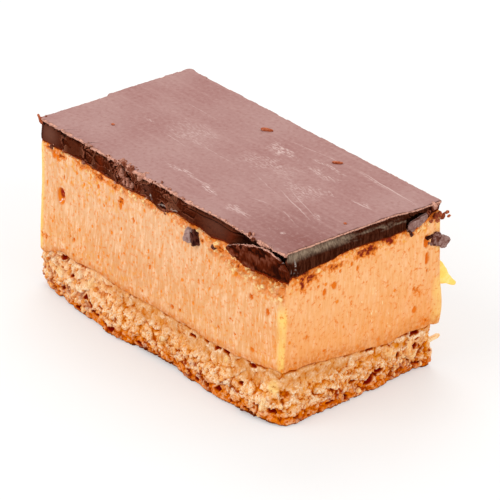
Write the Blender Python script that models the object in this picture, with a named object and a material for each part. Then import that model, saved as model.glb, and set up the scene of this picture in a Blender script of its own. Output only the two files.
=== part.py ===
"""One cut bar of millionaire's shortbread: a crumbly base, deep caramel and a set chocolate top.

Units are metres, with +Z up. The bar stands on its base, with its origin under its middle.
Its long sides face -Y (front) and +Y (back), and its short ends face -X (left) and +X (right).
"""

import math
from collections import namedtuple

import bmesh
import bpy
import numpy as np
from mathutils import Euler, Matrix, Vector

MM = 0.001

# Driving dimensions of the bar
LENGTH = 76 * MM
WIDTH = 40 * MM
HEIGHT = 37.5 * MM
BASE_HEIGHT = 10 * MM
CHOCOLATE_THICKNESS = 4.9 * MM
LAYER_GAP = 0.3 * MM

HALF_LENGTH = LENGTH / 2
HALF_WIDTH = WIDTH / 2
CARAMEL_TOP = HEIGHT - CHOCOLATE_THICKNESS

# Lines between the layers: level inside the bar, uneven within a rim of its faces
BASE_RIM = 5 * MM
TOP_RIM = 3 * MM
CORNER_RISE = 1.9 * MM
CORNER_RISE_LENGTH = 9 * MM
CORNER_RISE_WIDTH = 17 * MM
LEFT_DIP = 1.5 * MM
LEFT_DIP_START = -28 * MM
END_RISE = 1.2 * MM
END_RISE_LENGTH = 9 * MM
END_RISE_START = -11 * MM
END_RISE_FULL = -2 * MM

# Side faces: how deep a face's unevenness reaches into the block, and which points lie on a face
SKIN_DEPTH = 4 * MM
FACE_REACH = 0.3 * MM
LEVEL_TOLERANCE = 0.001

# Shortbread base
BASE_CELLS = (54, 28, 7)
BASE_CORNER_RADIUS = 3.2 * MM
BASE_FOOT_RADIUS = 1.8 * MM
BASE_TUCK = 0.8
FRONT_FLARE = 1.3 * MM
FRONT_FLARE_START = -34 * MM
FRONT_FLARE_FULL = -22 * MM
FRONT_FLARE_LAST = 33 * MM
END_FLARE = 0.9 * MM
BACK_FLARE = 0.5 * MM
FLARE_HEIGHT = 3 * MM
CRUMB_SIZE = 3.4 * MM
CRUMB_DEPTH = 2.1 * MM
CRUMB_CREST = 0.42
GRAIN_SIZE = 1.6 * MM
GRAIN_DEPTH = 0.35 * MM

# Loose-looking crumbs fused to the base
CRUMB_COUNT = 36
CRUMB_RADIUS_MIN = 0.9 * MM
CRUMB_RADIUS_MAX = 1.7 * MM
CRUMB_STRETCH_MIN = 0.8
CRUMB_STRETCH_MAX = 1.2
CRUMB_SPACING = 4.2 * MM
CRUMB_SINK = 0.4 * MM
CRUMB_MARGIN = 0.2 * MM
SCRAP_RELIEF = 0.3
SCRAP_LUMP = 0.9

# Caramel layer
CARAMEL_CELLS = (36, 19, 8)
CARAMEL_CORNER_RADIUS = 0.8 * MM
RIDGE_PITCH = 2.6 * MM
RIDGE_LENGTH = 24 * MM
RIDGE_DEPTH = 0.32 * MM
BULGE_SIZE = 13 * MM
BULGE_DEPTH = 0.45 * MM
BACK_LIP = 1.6 * MM
BACK_LIP_HEIGHT = 14 * MM
BACK_LIP_LENGTH = 9 * MM
BACK_LIP_SPREAD = 5 * MM

# Chocolate top
CHOCOLATE_CELLS = (48, 25, 4)
CHOCOLATE_CORNER_RADIUS = 0.5 * MM
BREAK_SIZE = 2.4 * MM
BREAK_DEPTH = 0.45 * MM
EDGE_WEAR = 0.35 * MM
EDGE_WEAR_WIDTH = 1 * MM
LEFT_STEP = 0.8 * MM
LEFT_STEP_START = -2.7 * MM
LEFT_STEP_LENGTH = 1 * MM
SCOOP_DEPTH = 0.7 * MM
SCOOP_CENTRE = 16 * MM
SCOOP_LENGTH = 8 * MM
RUBBLE_SIZE = 1.2 * MM
RUBBLE_DEPTH = 1.1 * MM
RUBBLE_CENTRE = -8.5 * MM
RUBBLE_LENGTH = 4 * MM

# Breaks under the chocolate's top skin at the right end, into which caramel has been dragged up
Break = namedtuple("Break", "start end ceiling")
RIGHT_END_BREAKS = (
    Break(11.0 * MM, 17.2 * MM, 36.3 * MM),
    Break(15.5 * MM, 22.0 * MM, 35.3 * MM),
)
BREAK_REACH = 2.6 * MM
BREAK_ROUNDING = 0.5 * MM
BREAK_MARGIN = 2 * MM
LUMP_CLEARANCE = 0.45 * MM

# Chocolate flake that hangs over the caramel beside the front corner
FLAKE_CELLS = (14, 2, 5)
FLAKE_START = 20.4 * MM
FLAKE_END = 37.4 * MM
FLAKE_CREST_START = 32.3 * MM
FLAKE_CREST_END = 33.0 * MM
FLAKE_CLIMB = 3.7 * MM
FLAKE_CLIMB_LEAN = 1.3
FLAKE_FOOT = 31.4 * MM
FLAKE_SAG = 0.85 * MM
FLAKE_SAG_LEAN = 0.8
FLAKE_THICKNESS = 1.3 * MM
FLAKE_THIN_SHARE = 0.55
FLAKE_CLEARANCE = 0.4 * MM
FLAKE_RELIEF = 0.15 * MM
CARAMEL_RECESS = 0.8 * MM
CARAMEL_RECESS_FADE = 3 * MM

# One seed for each kind of chance unevenness
SEED_CRUMB = 11
SEED_GRAIN = 12
SEED_RIDGE = 21
SEED_BULGE = 22
SEED_BREAK = 31
SEED_RUBBLE = 32
SEED_WEAR = 33
SEED_FLAKE = 34
SEED_BUBBLE_SHAPE = 60
SEED_CRUMB_SHAPE = 100
SEED_SCRAP_SHAPE = 200
HASH_STEPS = (374761393, 668265263, 1440662683)
HASH_SEED_STEP = 97531
HASH_MIXERS = ((13, 1274126177), (16, 2246822519))
HASH_MASK = 0xFFFFFFFF

# Burst bubbles in the caramel's cut faces, each with its place along and up its face
Bubble = namedtuple("Bubble", "face along up half_along half_up depth")
BUBBLES = (
    Bubble("front", -31.4 * MM, 22.5 * MM, 1.2 * MM, 1.8 * MM, 1.4 * MM),
    Bubble("front", -32.4 * MM, 30.6 * MM, 0.7 * MM, 0.9 * MM, 0.6 * MM),
    Bubble("front", 28.3 * MM, 24.7 * MM, 0.7 * MM, 0.7 * MM, 0.6 * MM),
    Bubble("front", 33.2 * MM, 23.5 * MM, 0.6 * MM, 0.8 * MM, 0.6 * MM),
    Bubble("front", 4.6 * MM, 12.3 * MM, 0.7 * MM, 0.6 * MM, 0.6 * MM),
    Bubble("right", -7.4 * MM, 27.3 * MM, 0.7 * MM, 0.8 * MM, 0.5 * MM),
    Bubble("right", 16.5 * MM, 15.0 * MM, 0.8 * MM, 0.9 * MM, 0.6 * MM),
    Bubble("back", 11.0 * MM, 24.0 * MM, 1.0 * MM, 1.2 * MM, 0.9 * MM),
    Bubble("left", 5.2 * MM, 18.6 * MM, 0.9 * MM, 1.1 * MM, 0.9 * MM),
)

# Scraps: chocolate chips and a dragged-out tongue on the caramel, and large crumbs at the base's right end
Scrap = namedtuple("Scrap", "name place size turn")
CARAMEL_SCRAPS = (
    Scrap("front_chip", (10.4 * MM, -20.2 * MM, 30.5 * MM), (3.6 * MM, 1.8 * MM, 3.2 * MM), (0.0, 0.4, 0.2)),
    Scrap("corner_chip", (38.4 * MM, 20.4 * MM, 28.9 * MM), (2 * MM, 5.2 * MM, 3.2 * MM), (-0.45, 0.1, -0.3)),
    Scrap("tongue", (37.5 * MM, 22.3 * MM, 20.3 * MM), (1.8 * MM, 6.2 * MM, 4.4 * MM), (-0.4, 0.0, -0.1)),
)
END_CRUMBS = (
    Scrap("end_crumb", (37.2 * MM, 7.6 * MM, 7.3 * MM), (3.4 * MM, 3.2 * MM, 3.2 * MM), (0.0, 0.0, 0.0)),
    Scrap("end_crumb", (36.9 * MM, 14.2 * MM, 6.6 * MM), (3.2 * MM, 3.0 * MM, 3.8 * MM), (0.3, 0.0, 0.2)),
    Scrap("end_crumb", (35.4 * MM, 18.0 * MM, 3.0 * MM), (3.0 * MM, 3.0 * MM, 3.2 * MM), (0.0, 0.4, 0.0)),
    Scrap("end_crumb", (35.6 * MM, 20.4 * MM, 5.8 * MM), (1.9 * MM, 4.4 * MM, 1.7 * MM), (0.0, 0.0, 0.2)),
)

# Looks of the layers
Finish = namedtuple("Finish", "colour roughness metallic")
FINISHES = {
    "shortbread_base": Finish((0.80, 0.44, 0.20, 1.0), 0.85, 0.0),
    "caramel_layer": Finish((0.90, 0.50, 0.24, 1.0), 0.45, 0.0),
    "chocolate_top": Finish((0.14, 0.045, 0.03, 1.0), 0.35, 0.0),
}


def clear_scene():
    for obj in list(bpy.data.objects):
        bpy.data.objects.remove(obj, do_unlink=True)


def new_collection(name):
    collection = bpy.data.collections.new(name)
    bpy.context.scene.collection.children.link(collection)
    return collection


def new_object(name, mesh, collection):
    obj = bpy.data.objects.new(name, mesh)
    collection.objects.link(obj)
    return obj


def object_from_bmesh(name, bm, collection):
    mesh = bpy.data.meshes.new(name)
    bm.to_mesh(mesh)
    bm.free()
    return new_object(name, mesh, collection)


def ramp(start, end, value):
    """Smooth step that is 0 at start and 1 at end, whichever of the two is larger."""
    share = np.clip((value - start) / (end - start), 0.0, 1.0)
    return share * share * (3.0 - 2.0 * share)


def hill(distance, spread):
    """Bell curve, 1 at distance 0 and nearly 0 at twice the spread."""
    return np.exp(-((distance / spread) ** 2))


def cell_random(cells, seed):
    """A repeatable random number from 0 to 1 for each whole-number cell, by mixing its bits."""
    mixed = (cells @ np.array(HASH_STEPS) + seed * HASH_SEED_STEP) & HASH_MASK
    for shift, step in HASH_MIXERS:
        mixed = ((mixed ^ (mixed >> shift)) * step) & HASH_MASK
    return mixed / HASH_MASK


def soft_noise(points, size, seed):
    """Smooth noise from -1 to 1, blended between random values at lattice corners of this size."""
    scaled = points / np.asarray(size)
    cell = np.floor(scaled).astype(np.int64)
    blend = ramp(0.0, 1.0, scaled - cell)
    total = np.zeros(len(points))
    for corner in np.ndindex(2, 2, 2):
        share = np.prod(np.where(corner, blend, 1.0 - blend), axis=1)
        total += share * cell_random(cell + np.array(corner), seed)
    return total * 2.0 - 1.0


def seed_distance(points, size, seed):
    """Distance, in cell sizes, to the nearest of the seed points scattered one to a cell of this size."""
    scaled = points / size
    cell = np.floor(scaled).astype(np.int64)
    nearest = np.full(len(points), np.inf)
    for step in np.ndindex(3, 3, 3):
        neighbour = cell + np.array(step) - 1
        centre = np.stack([cell_random(neighbour, seed + axis) for axis in range(3)], axis=1)
        nearest = np.minimum(nearest, np.linalg.norm(neighbour + centre - scaled, axis=1))
    return nearest


def near_faces(x, y, rim):
    """1 on the bar's upright faces, falling evenly to 0 at the rim's depth inside it."""
    depth_in = np.minimum(HALF_LENGTH - np.abs(x), HALF_WIDTH - np.abs(y))
    return np.clip(1.0 - depth_in / rim, 0.0, 1.0)


def caramel_line(x, y):
    """Height of the line between base and caramel: it climbs to the front corner and dips at the left."""
    climb = CORNER_RISE * hill(x - HALF_LENGTH, CORNER_RISE_LENGTH) * hill(y + HALF_WIDTH, CORNER_RISE_WIDTH)
    dip = LEFT_DIP * ramp(LEFT_DIP_START, -HALF_LENGTH, x)
    return BASE_HEIGHT + near_faces(x, y, BASE_RIM) * (climb - dip)


def chocolate_line(x, y):
    """Height of the line between caramel and chocolate: it rises along the right end."""
    rise = END_RISE * hill(x - HALF_LENGTH, END_RISE_LENGTH) * ramp(END_RISE_START, END_RISE_FULL, y)
    return CARAMEL_TOP + near_faces(x, y, TOP_RIM) * rise


def faces(x, y):
    """Which points lie on each upright face, by the face's name."""
    return {
        "front": y < -HALF_WIDTH + FACE_REACH,
        "back": y > HALF_WIDTH - FACE_REACH,
        "left": x < -HALF_LENGTH + FACE_REACH,
        "right": x > HALF_LENGTH - FACE_REACH,
    }


def base_skin(x, y, z):
    """Outward unevenness of the base: flared low down, tucked in at the foot, with a crumbly face."""
    points = np.stack([x, y, z], axis=1)
    on = faces(x, y)
    flare = on["front"] * FRONT_FLARE * ramp(FRONT_FLARE_START, FRONT_FLARE_FULL, x)
    flare = flare * ramp(HALF_LENGTH, FRONT_FLARE_LAST, x)
    flare = flare + on["back"] * BACK_FLARE - on["right"] * END_FLARE * y / HALF_WIDTH
    flare = flare * ramp(BASE_HEIGHT, FLARE_HEIGHT, z)
    under = np.clip(1.0 - z / BASE_FOOT_RADIUS, 0.0, 1.0)
    tuck = BASE_TUCK * BASE_FOOT_RADIUS * (1.0 - np.sqrt(1.0 - under ** 2))
    crumbs = CRUMB_DEPTH * (CRUMB_CREST - seed_distance(points, CRUMB_SIZE, SEED_CRUMB))
    grain = GRAIN_DEPTH * soft_noise(points, GRAIN_SIZE, SEED_GRAIN)
    return flare - tuck + crumbs + grain


def caramel_skin(x, y, z):
    """Outward unevenness of the caramel: upright knife ridges, soft bulges and a lip low at the back."""
    points = np.stack([x, y, z], axis=1)
    on = faces(x, y)
    ridges = RIDGE_DEPTH * soft_noise(points, (RIDGE_PITCH, RIDGE_PITCH, RIDGE_LENGTH), SEED_RIDGE)
    bulges = BULGE_DEPTH * soft_noise(points, BULGE_SIZE, SEED_BULGE)
    lip = on["back"] * hill(x - HALF_LENGTH, BACK_LIP_LENGTH) * hill(z - BACK_LIP_HEIGHT, BACK_LIP_SPREAD)
    lowest = FLAKE_FOOT - FLAKE_SAG
    beside_flake = ramp(FLAKE_START - CARAMEL_RECESS_FADE, FLAKE_START, x)
    under_flake = on["front"] * beside_flake * ramp(lowest - CARAMEL_RECESS_FADE, lowest, z)
    return (ridges + bulges) * (1.0 - under_flake) + BACK_LIP * lip - CARAMEL_RECESS * under_flake


def chocolate_skin(x, y, z):
    """Outward unevenness of the chocolate: a snapped face, a smooth scoop, rubble and a stepped end."""
    points = np.stack([x, y, z], axis=1)
    on = faces(x, y)
    snapped = BREAK_DEPTH * soft_noise(points, BREAK_SIZE, SEED_BREAK)
    middle = (HEIGHT + CARAMEL_TOP) / 2
    scoop = SCOOP_DEPTH * hill(x - SCOOP_CENTRE, SCOOP_LENGTH) * hill(z - middle, CHOCOLATE_THICKNESS)
    pits = np.minimum(seed_distance(points, RUBBLE_SIZE, SEED_RUBBLE), 1.0)
    rubble = RUBBLE_DEPTH * pits * hill(x - RUBBLE_CENTRE, RUBBLE_LENGTH)
    step = LEFT_STEP * ramp(LEFT_STEP_START, LEFT_STEP_START + LEFT_STEP_LENGTH, y)
    return snapped - on["front"] * (scoop + rubble) + on["left"] * step


def base_foot(x, y):
    return np.zeros_like(x)


def base_crown(x, y):
    return caramel_line(x, y) - LAYER_GAP / 2


def caramel_foot(x, y):
    return caramel_line(x, y) + LAYER_GAP / 2


def caramel_crown(x, y):
    return chocolate_line(x, y) - LAYER_GAP / 2


def chocolate_foot(x, y):
    return chocolate_line(x, y) + LAYER_GAP / 2


def chocolate_crown(x, y):
    """The chocolate's level top, with an edge worn down unevenly."""
    points = np.stack([x, y, np.full_like(x, HEIGHT)], axis=1)
    wear = EDGE_WEAR * (0.5 + 0.5 * soft_noise(points, BREAK_SIZE, SEED_WEAR))
    return HEIGHT - near_faces(x, y, EDGE_WEAR_WIDTH) * wear


Layer = namedtuple("Layer", "name cells corner_radius foot crown skin foot_rim crown_rim")
LAYERS = (
    Layer("shortbread_base", BASE_CELLS, BASE_CORNER_RADIUS, base_foot, base_crown, base_skin, 0.0, BASE_RIM),
    Layer("caramel_layer", CARAMEL_CELLS, CARAMEL_CORNER_RADIUS,
          caramel_foot, caramel_crown, caramel_skin, BASE_RIM, TOP_RIM),
    Layer("chocolate_top", CHOCOLATE_CELLS, CHOCOLATE_CORNER_RADIUS,
          chocolate_foot, chocolate_crown, chocolate_skin, TOP_RIM, EDGE_WEAR_WIDTH),
)


def gridded_block(name, cells):
    """A block from 0 to 1 in height and -0.5 to 0.5 across, cut into cells along X, Y and Z."""
    bm = bmesh.new()
    bmesh.ops.create_cube(bm, size=1.0)
    for axis, count in enumerate(cells):
        along = [edge for edge in bm.edges if abs((edge.verts[0].co - edge.verts[1].co)[axis]) > 0.5]
        bmesh.ops.subdivide_edges(bm, edges=along, cuts=count - 1, use_grid_fill=True)
    bmesh.ops.translate(bm, vec=(0.0, 0.0, 0.5), verts=bm.verts)
    mesh = bpy.data.meshes.new(name)
    bm.to_mesh(mesh)
    bm.free()
    return mesh


def mesh_points(mesh):
    flat = np.empty(len(mesh.vertices) * 3)
    mesh.vertices.foreach_get("co", flat)
    return flat.reshape(-1, 3)


def set_mesh_points(mesh, *columns):
    mesh.vertices.foreach_set("co", np.stack(columns, axis=1).ravel())
    mesh.update()


def merge_level_middle(mesh, layer):
    """Join the small faces of each level middle, inside its uneven rim, into one face."""
    bm = bmesh.new()
    bm.from_mesh(mesh)
    for level, rim in ((0.0, layer.foot_rim), (1.0, layer.crown_rim)):
        reach = rim + max(LENGTH / layer.cells[0], WIDTH / layer.cells[1])
        inner_x = 0.5 - reach / LENGTH + LEVEL_TOLERANCE
        inner_y = 0.5 - reach / WIDTH + LEVEL_TOLERANCE
        inner = [
            face for face in bm.faces
            if all(abs(vert.co.z - level) < LEVEL_TOLERANCE for vert in face.verts)
            and all(abs(vert.co.x) < inner_x and abs(vert.co.y) < inner_y for vert in face.verts)
        ]
        bmesh.ops.dissolve_faces(bm, faces=inner, use_verts=True)
    bm.to_mesh(mesh)
    bm.free()


def rounded_outline(x, y, radius):
    """Round the block's upright corners: each corner square is squeezed into a quarter disc."""
    across = np.clip((np.abs(x) - HALF_LENGTH + radius) / radius, 0.0, 1.0)
    along = np.clip((np.abs(y) - HALF_WIDTH + radius) / radius, 0.0, 1.0)
    x_round = x - np.sign(x) * radius * across * (1.0 - np.sqrt(1.0 - along ** 2 / 2))
    y_round = y - np.sign(y) * radius * along * (1.0 - np.sqrt(1.0 - across ** 2 / 2))
    return x_round, y_round


def height_in_layer(layer, x, y, share):
    """Height of a point whose share is 0 on the layer's foot and 1 on its crown."""
    return layer.foot(x, y) * (1.0 - share) + layer.crown(x, y) * share


def nearest_face_point(x, y):
    """Each point's place, carried level to the upright face nearest to it."""
    end_is_nearer = HALF_LENGTH - np.abs(x) < HALF_WIDTH - np.abs(y)
    x_face = np.where(end_is_nearer, np.copysign(HALF_LENGTH, x), x)
    y_face = np.where(end_is_nearer, y, np.copysign(HALF_WIDTH, y))
    return x_face, y_face


def outward_pull(x, y):
    """Level direction in which a face's unevenness moves each point, full on the faces and 0 inside."""
    pull_x = np.clip(1.0 - (HALF_LENGTH - np.abs(x)) / SKIN_DEPTH, 0.0, 1.0)
    pull_y = np.clip(1.0 - (HALF_WIDTH - np.abs(y)) / SKIN_DEPTH, 0.0, 1.0)
    length = np.maximum(np.hypot(pull_x, pull_y), 1.0)
    return np.sign(x) * pull_x / length, np.sign(y) * pull_y / length


def shape_layer(mesh, layer):
    """Carry the plain block's points to the layer's real form."""
    x, y, share = (mesh_points(mesh) * (LENGTH, WIDTH, 1.0)).T
    outward = layer.skin(*nearest_face_point(x, y), height_in_layer(layer, x, y, share))
    pull_x, pull_y = outward_pull(x, y)
    x_round, y_round = rounded_outline(x, y, layer.corner_radius)
    x_real = x_round + pull_x * outward
    y_real = y_round + pull_y * outward
    set_mesh_points(mesh, x_real, y_real, height_in_layer(layer, x_real, y_real, share))


def split_into_triangles(mesh):
    """Flat triangles in place of twisted four-sided faces, so that a Boolean meets flat faces only."""
    bm = bmesh.new()
    bm.from_mesh(mesh)
    bmesh.ops.triangulate(bm, faces=bm.faces)
    bm.to_mesh(mesh)
    bm.free()


def make_layer(layer, collection):
    mesh = gridded_block(layer.name, layer.cells)
    merge_level_middle(mesh, layer)
    shape_layer(mesh, layer)
    split_into_triangles(mesh)
    return new_object(layer.name, mesh, collection)


def rough_ball(scrap, collection, seed):
    """A scrap of crumb, chip or smear: a small ball squashed to size, with uneven points."""
    bm = bmesh.new()
    bmesh.ops.create_icosphere(bm, subdivisions=2, radius=1.0)
    points = np.array([vert.co for vert in bm.verts])
    reach = 1.0 + SCRAP_RELIEF * soft_noise(points, SCRAP_LUMP, seed)
    for vert, factor in zip(bm.verts, reach):
        vert.co = vert.co * factor
    stretch = Matrix.Diagonal((*(Vector(scrap.size) / 2), 1.0))
    place = Matrix.Translation(scrap.place) @ Euler(scrap.turn).to_matrix().to_4x4()
    bmesh.ops.transform(bm, matrix=place @ stretch, verts=bm.verts)
    return object_from_bmesh(scrap.name, bm, collection)


def rounded_box(name, low, high, collection):
    """A box between two corner points, with all its edges rounded."""
    bm = bmesh.new()
    bmesh.ops.create_cube(bm, size=1.0)
    size = Vector(high) - Vector(low)
    bmesh.ops.scale(bm, vec=size, verts=bm.verts)
    bmesh.ops.bevel(bm, geom=list(bm.edges), offset=BREAK_ROUNDING, segments=2, profile=0.5, affect="EDGES")
    bmesh.ops.translate(bm, vec=Vector(low) + size / 2, verts=bm.verts)
    return object_from_bmesh(name, bm, collection)


def join_or_cut(target, tools, operation):
    """Apply one Boolean of the target with a whole collection, then remove that collection's objects."""
    modifier = target.modifiers.new("boolean", "BOOLEAN")
    modifier.operation = operation
    modifier.operand_type = "COLLECTION"
    modifier.collection = tools
    modifier.solver = "EXACT"
    shaped = target.evaluated_get(bpy.context.evaluated_depsgraph_get())
    mesh = bpy.data.meshes.new_from_object(shaped)
    target.modifiers.remove(modifier)
    mesh.name = target.name
    target.data = mesh
    for obj in list(tools.objects):
        bpy.data.objects.remove(obj, do_unlink=True)


def place_on_base(along, height):
    """Point sunk a little into the base's uneven side, a distance round it from the front left corner."""
    runs = (
        (LENGTH, lambda d: (-HALF_LENGTH + d, -HALF_WIDTH), (0, -1)),
        (WIDTH, lambda d: (HALF_LENGTH, -HALF_WIDTH + d), (1, 0)),
        (LENGTH, lambda d: (HALF_LENGTH - d, HALF_WIDTH), (0, 1)),
        (WIDTH, lambda d: (-HALF_LENGTH, HALF_WIDTH - d), (-1, 0)),
    )
    for run_length, point, outward in runs:
        if along < run_length:
            break
        along -= run_length
    x, y = point(np.clip(along, BASE_CORNER_RADIUS, run_length - BASE_CORNER_RADIUS))
    shift = base_skin(*np.array([[x], [y], [height]]))[0] - CRUMB_SINK
    return (x + outward[0] * shift, y + outward[1] * shift, height)


def crumb_scraps():
    """Crumbs spread round the base by a seeded draw, each clear of those before it."""
    draw = np.random.default_rng(SEED_CRUMB)
    scraps = list(END_CRUMBS)
    while len(scraps) < CRUMB_COUNT:
        radius = draw.uniform(CRUMB_RADIUS_MIN, CRUMB_RADIUS_MAX)
        reach = radius * CRUMB_STRETCH_MAX * (1.0 + SCRAP_RELIEF) + CRUMB_MARGIN
        height = draw.uniform(reach, BASE_HEIGHT - LEFT_DIP - reach)
        place = place_on_base(draw.uniform(0.0, 2 * (LENGTH + WIDTH)), height)
        size = 2 * radius * draw.uniform(CRUMB_STRETCH_MIN, CRUMB_STRETCH_MAX, 3)
        turn = draw.uniform(0.0, math.pi, 3)
        if all(math.dist(place, other.place) > CRUMB_SPACING for other in scraps):
            scraps.append(Scrap("crumb", place, tuple(size), tuple(turn)))
    return scraps


def add_bubble_cutters(tools):
    """Balls that cut the burst bubbles out of the caramel's faces."""
    face_frames = {
        "front": (0, 1, -HALF_WIDTH),
        "back": (0, 1, HALF_WIDTH),
        "left": (1, 0, -HALF_LENGTH),
        "right": (1, 0, HALF_LENGTH),
    }
    for index, bubble in enumerate(BUBBLES):
        along_axis, out_axis, face_place = face_frames[bubble.face]
        place = [bubble.up] * 3
        place[along_axis] = bubble.along
        place[out_axis] = face_place
        size = [2 * bubble.half_up] * 3
        size[along_axis] = 2 * bubble.half_along
        size[out_axis] = 2 * bubble.depth
        rough_ball(Scrap("bubble", place, size, (0.0, 0.0, 0.0)), tools, SEED_BUBBLE_SHAPE + index)


def add_break_cutters(tools):
    """Boxes that cut the breaks out of the chocolate's right end, below its top skin."""
    for gap in RIGHT_END_BREAKS:
        low = (HALF_LENGTH - BREAK_REACH, gap.start, CARAMEL_TOP - BREAK_MARGIN)
        high = (HALF_LENGTH + BREAK_MARGIN, gap.end, gap.ceiling)
        rounded_box("break_cutter", low, high, tools)


def add_dragged_lumps(tools):
    """Caramel dragged up into the breaks, clear of the chocolate all round."""
    for gap in RIGHT_END_BREAKS:
        low = (HALF_LENGTH - BREAK_REACH, gap.start, CARAMEL_TOP - BREAK_MARGIN)
        high = (HALF_LENGTH, min(gap.end, HALF_WIDTH), gap.ceiling)
        inset = Vector((LUMP_CLEARANCE, LUMP_CLEARANCE, 0.0))
        top_inset = Vector((LUMP_CLEARANCE, LUMP_CLEARANCE, LUMP_CLEARANCE))
        rounded_box("dragged_lump", Vector(low) + inset, Vector(high) - top_inset, tools)


def add_hanging_flake(tools):
    """A slab whose crest climbs and falls and whose foot sags, thin at its ends and rough on its face."""
    mesh = gridded_block("front_flake", FLAKE_CELLS)
    along, through, up = mesh_points(mesh).T
    along = along + 0.5
    arch = np.sin(np.pi * along)
    x = FLAKE_START + (FLAKE_END - FLAKE_START) * along
    crest = FLAKE_CREST_START + (FLAKE_CREST_END - FLAKE_CREST_START) * along
    crest = crest + FLAKE_CLIMB * np.sin(np.pi * along ** FLAKE_CLIMB_LEAN)
    foot = FLAKE_FOOT - FLAKE_SAG * np.sin(np.pi * along ** FLAKE_SAG_LEAN)
    z = foot * (1.0 - up) + crest * up
    plump = FLAKE_THIN_SHARE + (1.0 - FLAKE_THIN_SHARE) * arch * (1.0 - (2.0 * up - 1.0) ** 2)
    rough = FLAKE_RELIEF * soft_noise(np.stack([x, z, z], axis=1), BREAK_SIZE, SEED_FLAKE)
    inner = -HALF_WIDTH - FLAKE_CLEARANCE + CARAMEL_RECESS
    y = inner - (FLAKE_THICKNESS * plump + rough) * (0.5 - through)
    set_mesh_points(mesh, x, y, z)
    new_object("front_flake", mesh, tools)


def finish_base(base, tools):
    for index, scrap in enumerate(crumb_scraps()):
        rough_ball(scrap, tools, SEED_CRUMB_SHAPE + index)
    join_or_cut(base, tools, "UNION")


def finish_caramel(caramel, tools):
    add_bubble_cutters(tools)
    join_or_cut(caramel, tools, "DIFFERENCE")
    for index, scrap in enumerate(CARAMEL_SCRAPS):
        rough_ball(scrap, tools, SEED_SCRAP_SHAPE + index)
    add_dragged_lumps(tools)
    join_or_cut(caramel, tools, "UNION")


def finish_chocolate(chocolate, tools):
    add_break_cutters(tools)
    join_or_cut(chocolate, tools, "DIFFERENCE")
    add_hanging_flake(tools)
    join_or_cut(chocolate, tools, "UNION")


def paint(obj):
    """Give a layer its own material."""
    finish = FINISHES[obj.name]
    material = bpy.data.materials.new(obj.name)
    material.use_nodes = True
    shader = material.node_tree.nodes["Principled BSDF"]
    shader.inputs["Base Color"].default_value = finish.colour
    shader.inputs["Roughness"].default_value = finish.roughness
    shader.inputs["Metallic"].default_value = finish.metallic
    material.diffuse_color = finish.colour
    obj.data.materials.clear()
    obj.data.materials.append(material)


def main():
    clear_scene()
    bar = new_collection("millionaires_shortbread")
    tools = new_collection("cutters_and_scraps")
    stand = new_object("bar_origin", None, bar)
    for layer, finish in zip(LAYERS, (finish_base, finish_caramel, finish_chocolate)):
        obj = make_layer(layer, bar)
        finish(obj, tools)
        paint(obj)
        obj.parent = stand


main()
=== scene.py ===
"""Looks of one cut bar of millionaire's shortbread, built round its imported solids.

The bar stands on its base with its origin under its middle. Its long faces look along -Y (front) and +Y
(back), and its short ends along -X (left) and +X (right). Lengths in the code are metres; MM turns
millimetres into them.
"""

import math
from collections import namedtuple

import bpy
import numpy as np
from mathutils import Matrix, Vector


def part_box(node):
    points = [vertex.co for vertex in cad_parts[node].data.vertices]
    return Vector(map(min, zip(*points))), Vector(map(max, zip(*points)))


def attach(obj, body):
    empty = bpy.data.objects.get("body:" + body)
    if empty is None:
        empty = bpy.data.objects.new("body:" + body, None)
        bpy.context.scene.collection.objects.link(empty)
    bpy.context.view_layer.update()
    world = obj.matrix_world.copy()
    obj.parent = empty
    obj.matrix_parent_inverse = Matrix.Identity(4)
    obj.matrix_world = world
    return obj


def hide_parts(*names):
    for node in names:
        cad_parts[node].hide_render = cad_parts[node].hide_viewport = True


bl_info = {
    "name": "Millionaire's shortbread bar",
    "version": (1, 0, 0),
    "blender": (4, 5, 0),
    "location": "View3D > Sidebar > Shortbread",
    "description": "Builds the crumb, caramel and chocolate of one cut bar of millionaire's shortbread",
    "category": "Add Mesh",
}

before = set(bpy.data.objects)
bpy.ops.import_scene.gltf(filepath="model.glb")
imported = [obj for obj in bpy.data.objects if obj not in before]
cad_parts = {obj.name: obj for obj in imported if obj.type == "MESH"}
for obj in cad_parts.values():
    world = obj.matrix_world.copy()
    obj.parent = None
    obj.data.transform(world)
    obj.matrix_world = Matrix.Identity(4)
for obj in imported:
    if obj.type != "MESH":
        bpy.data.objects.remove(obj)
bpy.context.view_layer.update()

MM = 0.001
CHOCOLATE_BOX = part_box("chocolate_top")

# Depth of the unevenness inside the bar, shared with the solids, and half the gap between two layers
SKIN_DEPTH = 4 * MM
CARAMEL_RIM = 5 * MM
CHOCOLATE_RIM = 3 * MM
LAYER_GAP = 0.02 * MM

# How the random numbers of a cell are mixed, and how broken fragments step, tilt and meet
HASH_STEPS = (374761393, 668265263, 1440662683)
HASH_SEED_STEP = 97531
HASH_MIXERS = ((13, 1274126177), (16, 2246822519))
HASH_MASK = 0xFFFFFFFF
FRAGMENT_NUMBERS = 9973
FRAGMENT_STEP = 1.2
FRAGMENT_TILT = 1.8
BORDER_WIDTH = 0.28

# The hanging flake, in millimetres, and the many small lumps
FLAKE_START = 20.8
FLAKE_LENGTH = 17.7
FLAKE_THICKNESS = 0.95
FLAKE_BACK = -20.15
SMALL_LUMP_RELIEF = 0.45
SMALL_LUMP_FORMS = 97

# Looks and stage
CRUMB_SATURATION = 1.13
# A front corner of the top darkened as painted shade: its place and its size
PAINTED_SHADE_CORNER_PLACE = (36 * MM, -14 * MM, 37.5 * MM)
PAINTED_SHADE_CORNER_SIZE = (21 * MM, 16 * MM, 1.0)
FLOOR_REACH = 3.0
FLOOR_DROP = 0.02 * MM
FLOOR_DUST = (0.50, 0.515, 0.525)
FLOOR_LIGHT = (1.0, 0.955, 0.92, 1.0)
FLOOR_LIGHT_STRENGTH = 0.39
SENSOR_WIDTH = 36.0
LIGHT_AIM = (0, 0, 20 * MM)
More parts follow.
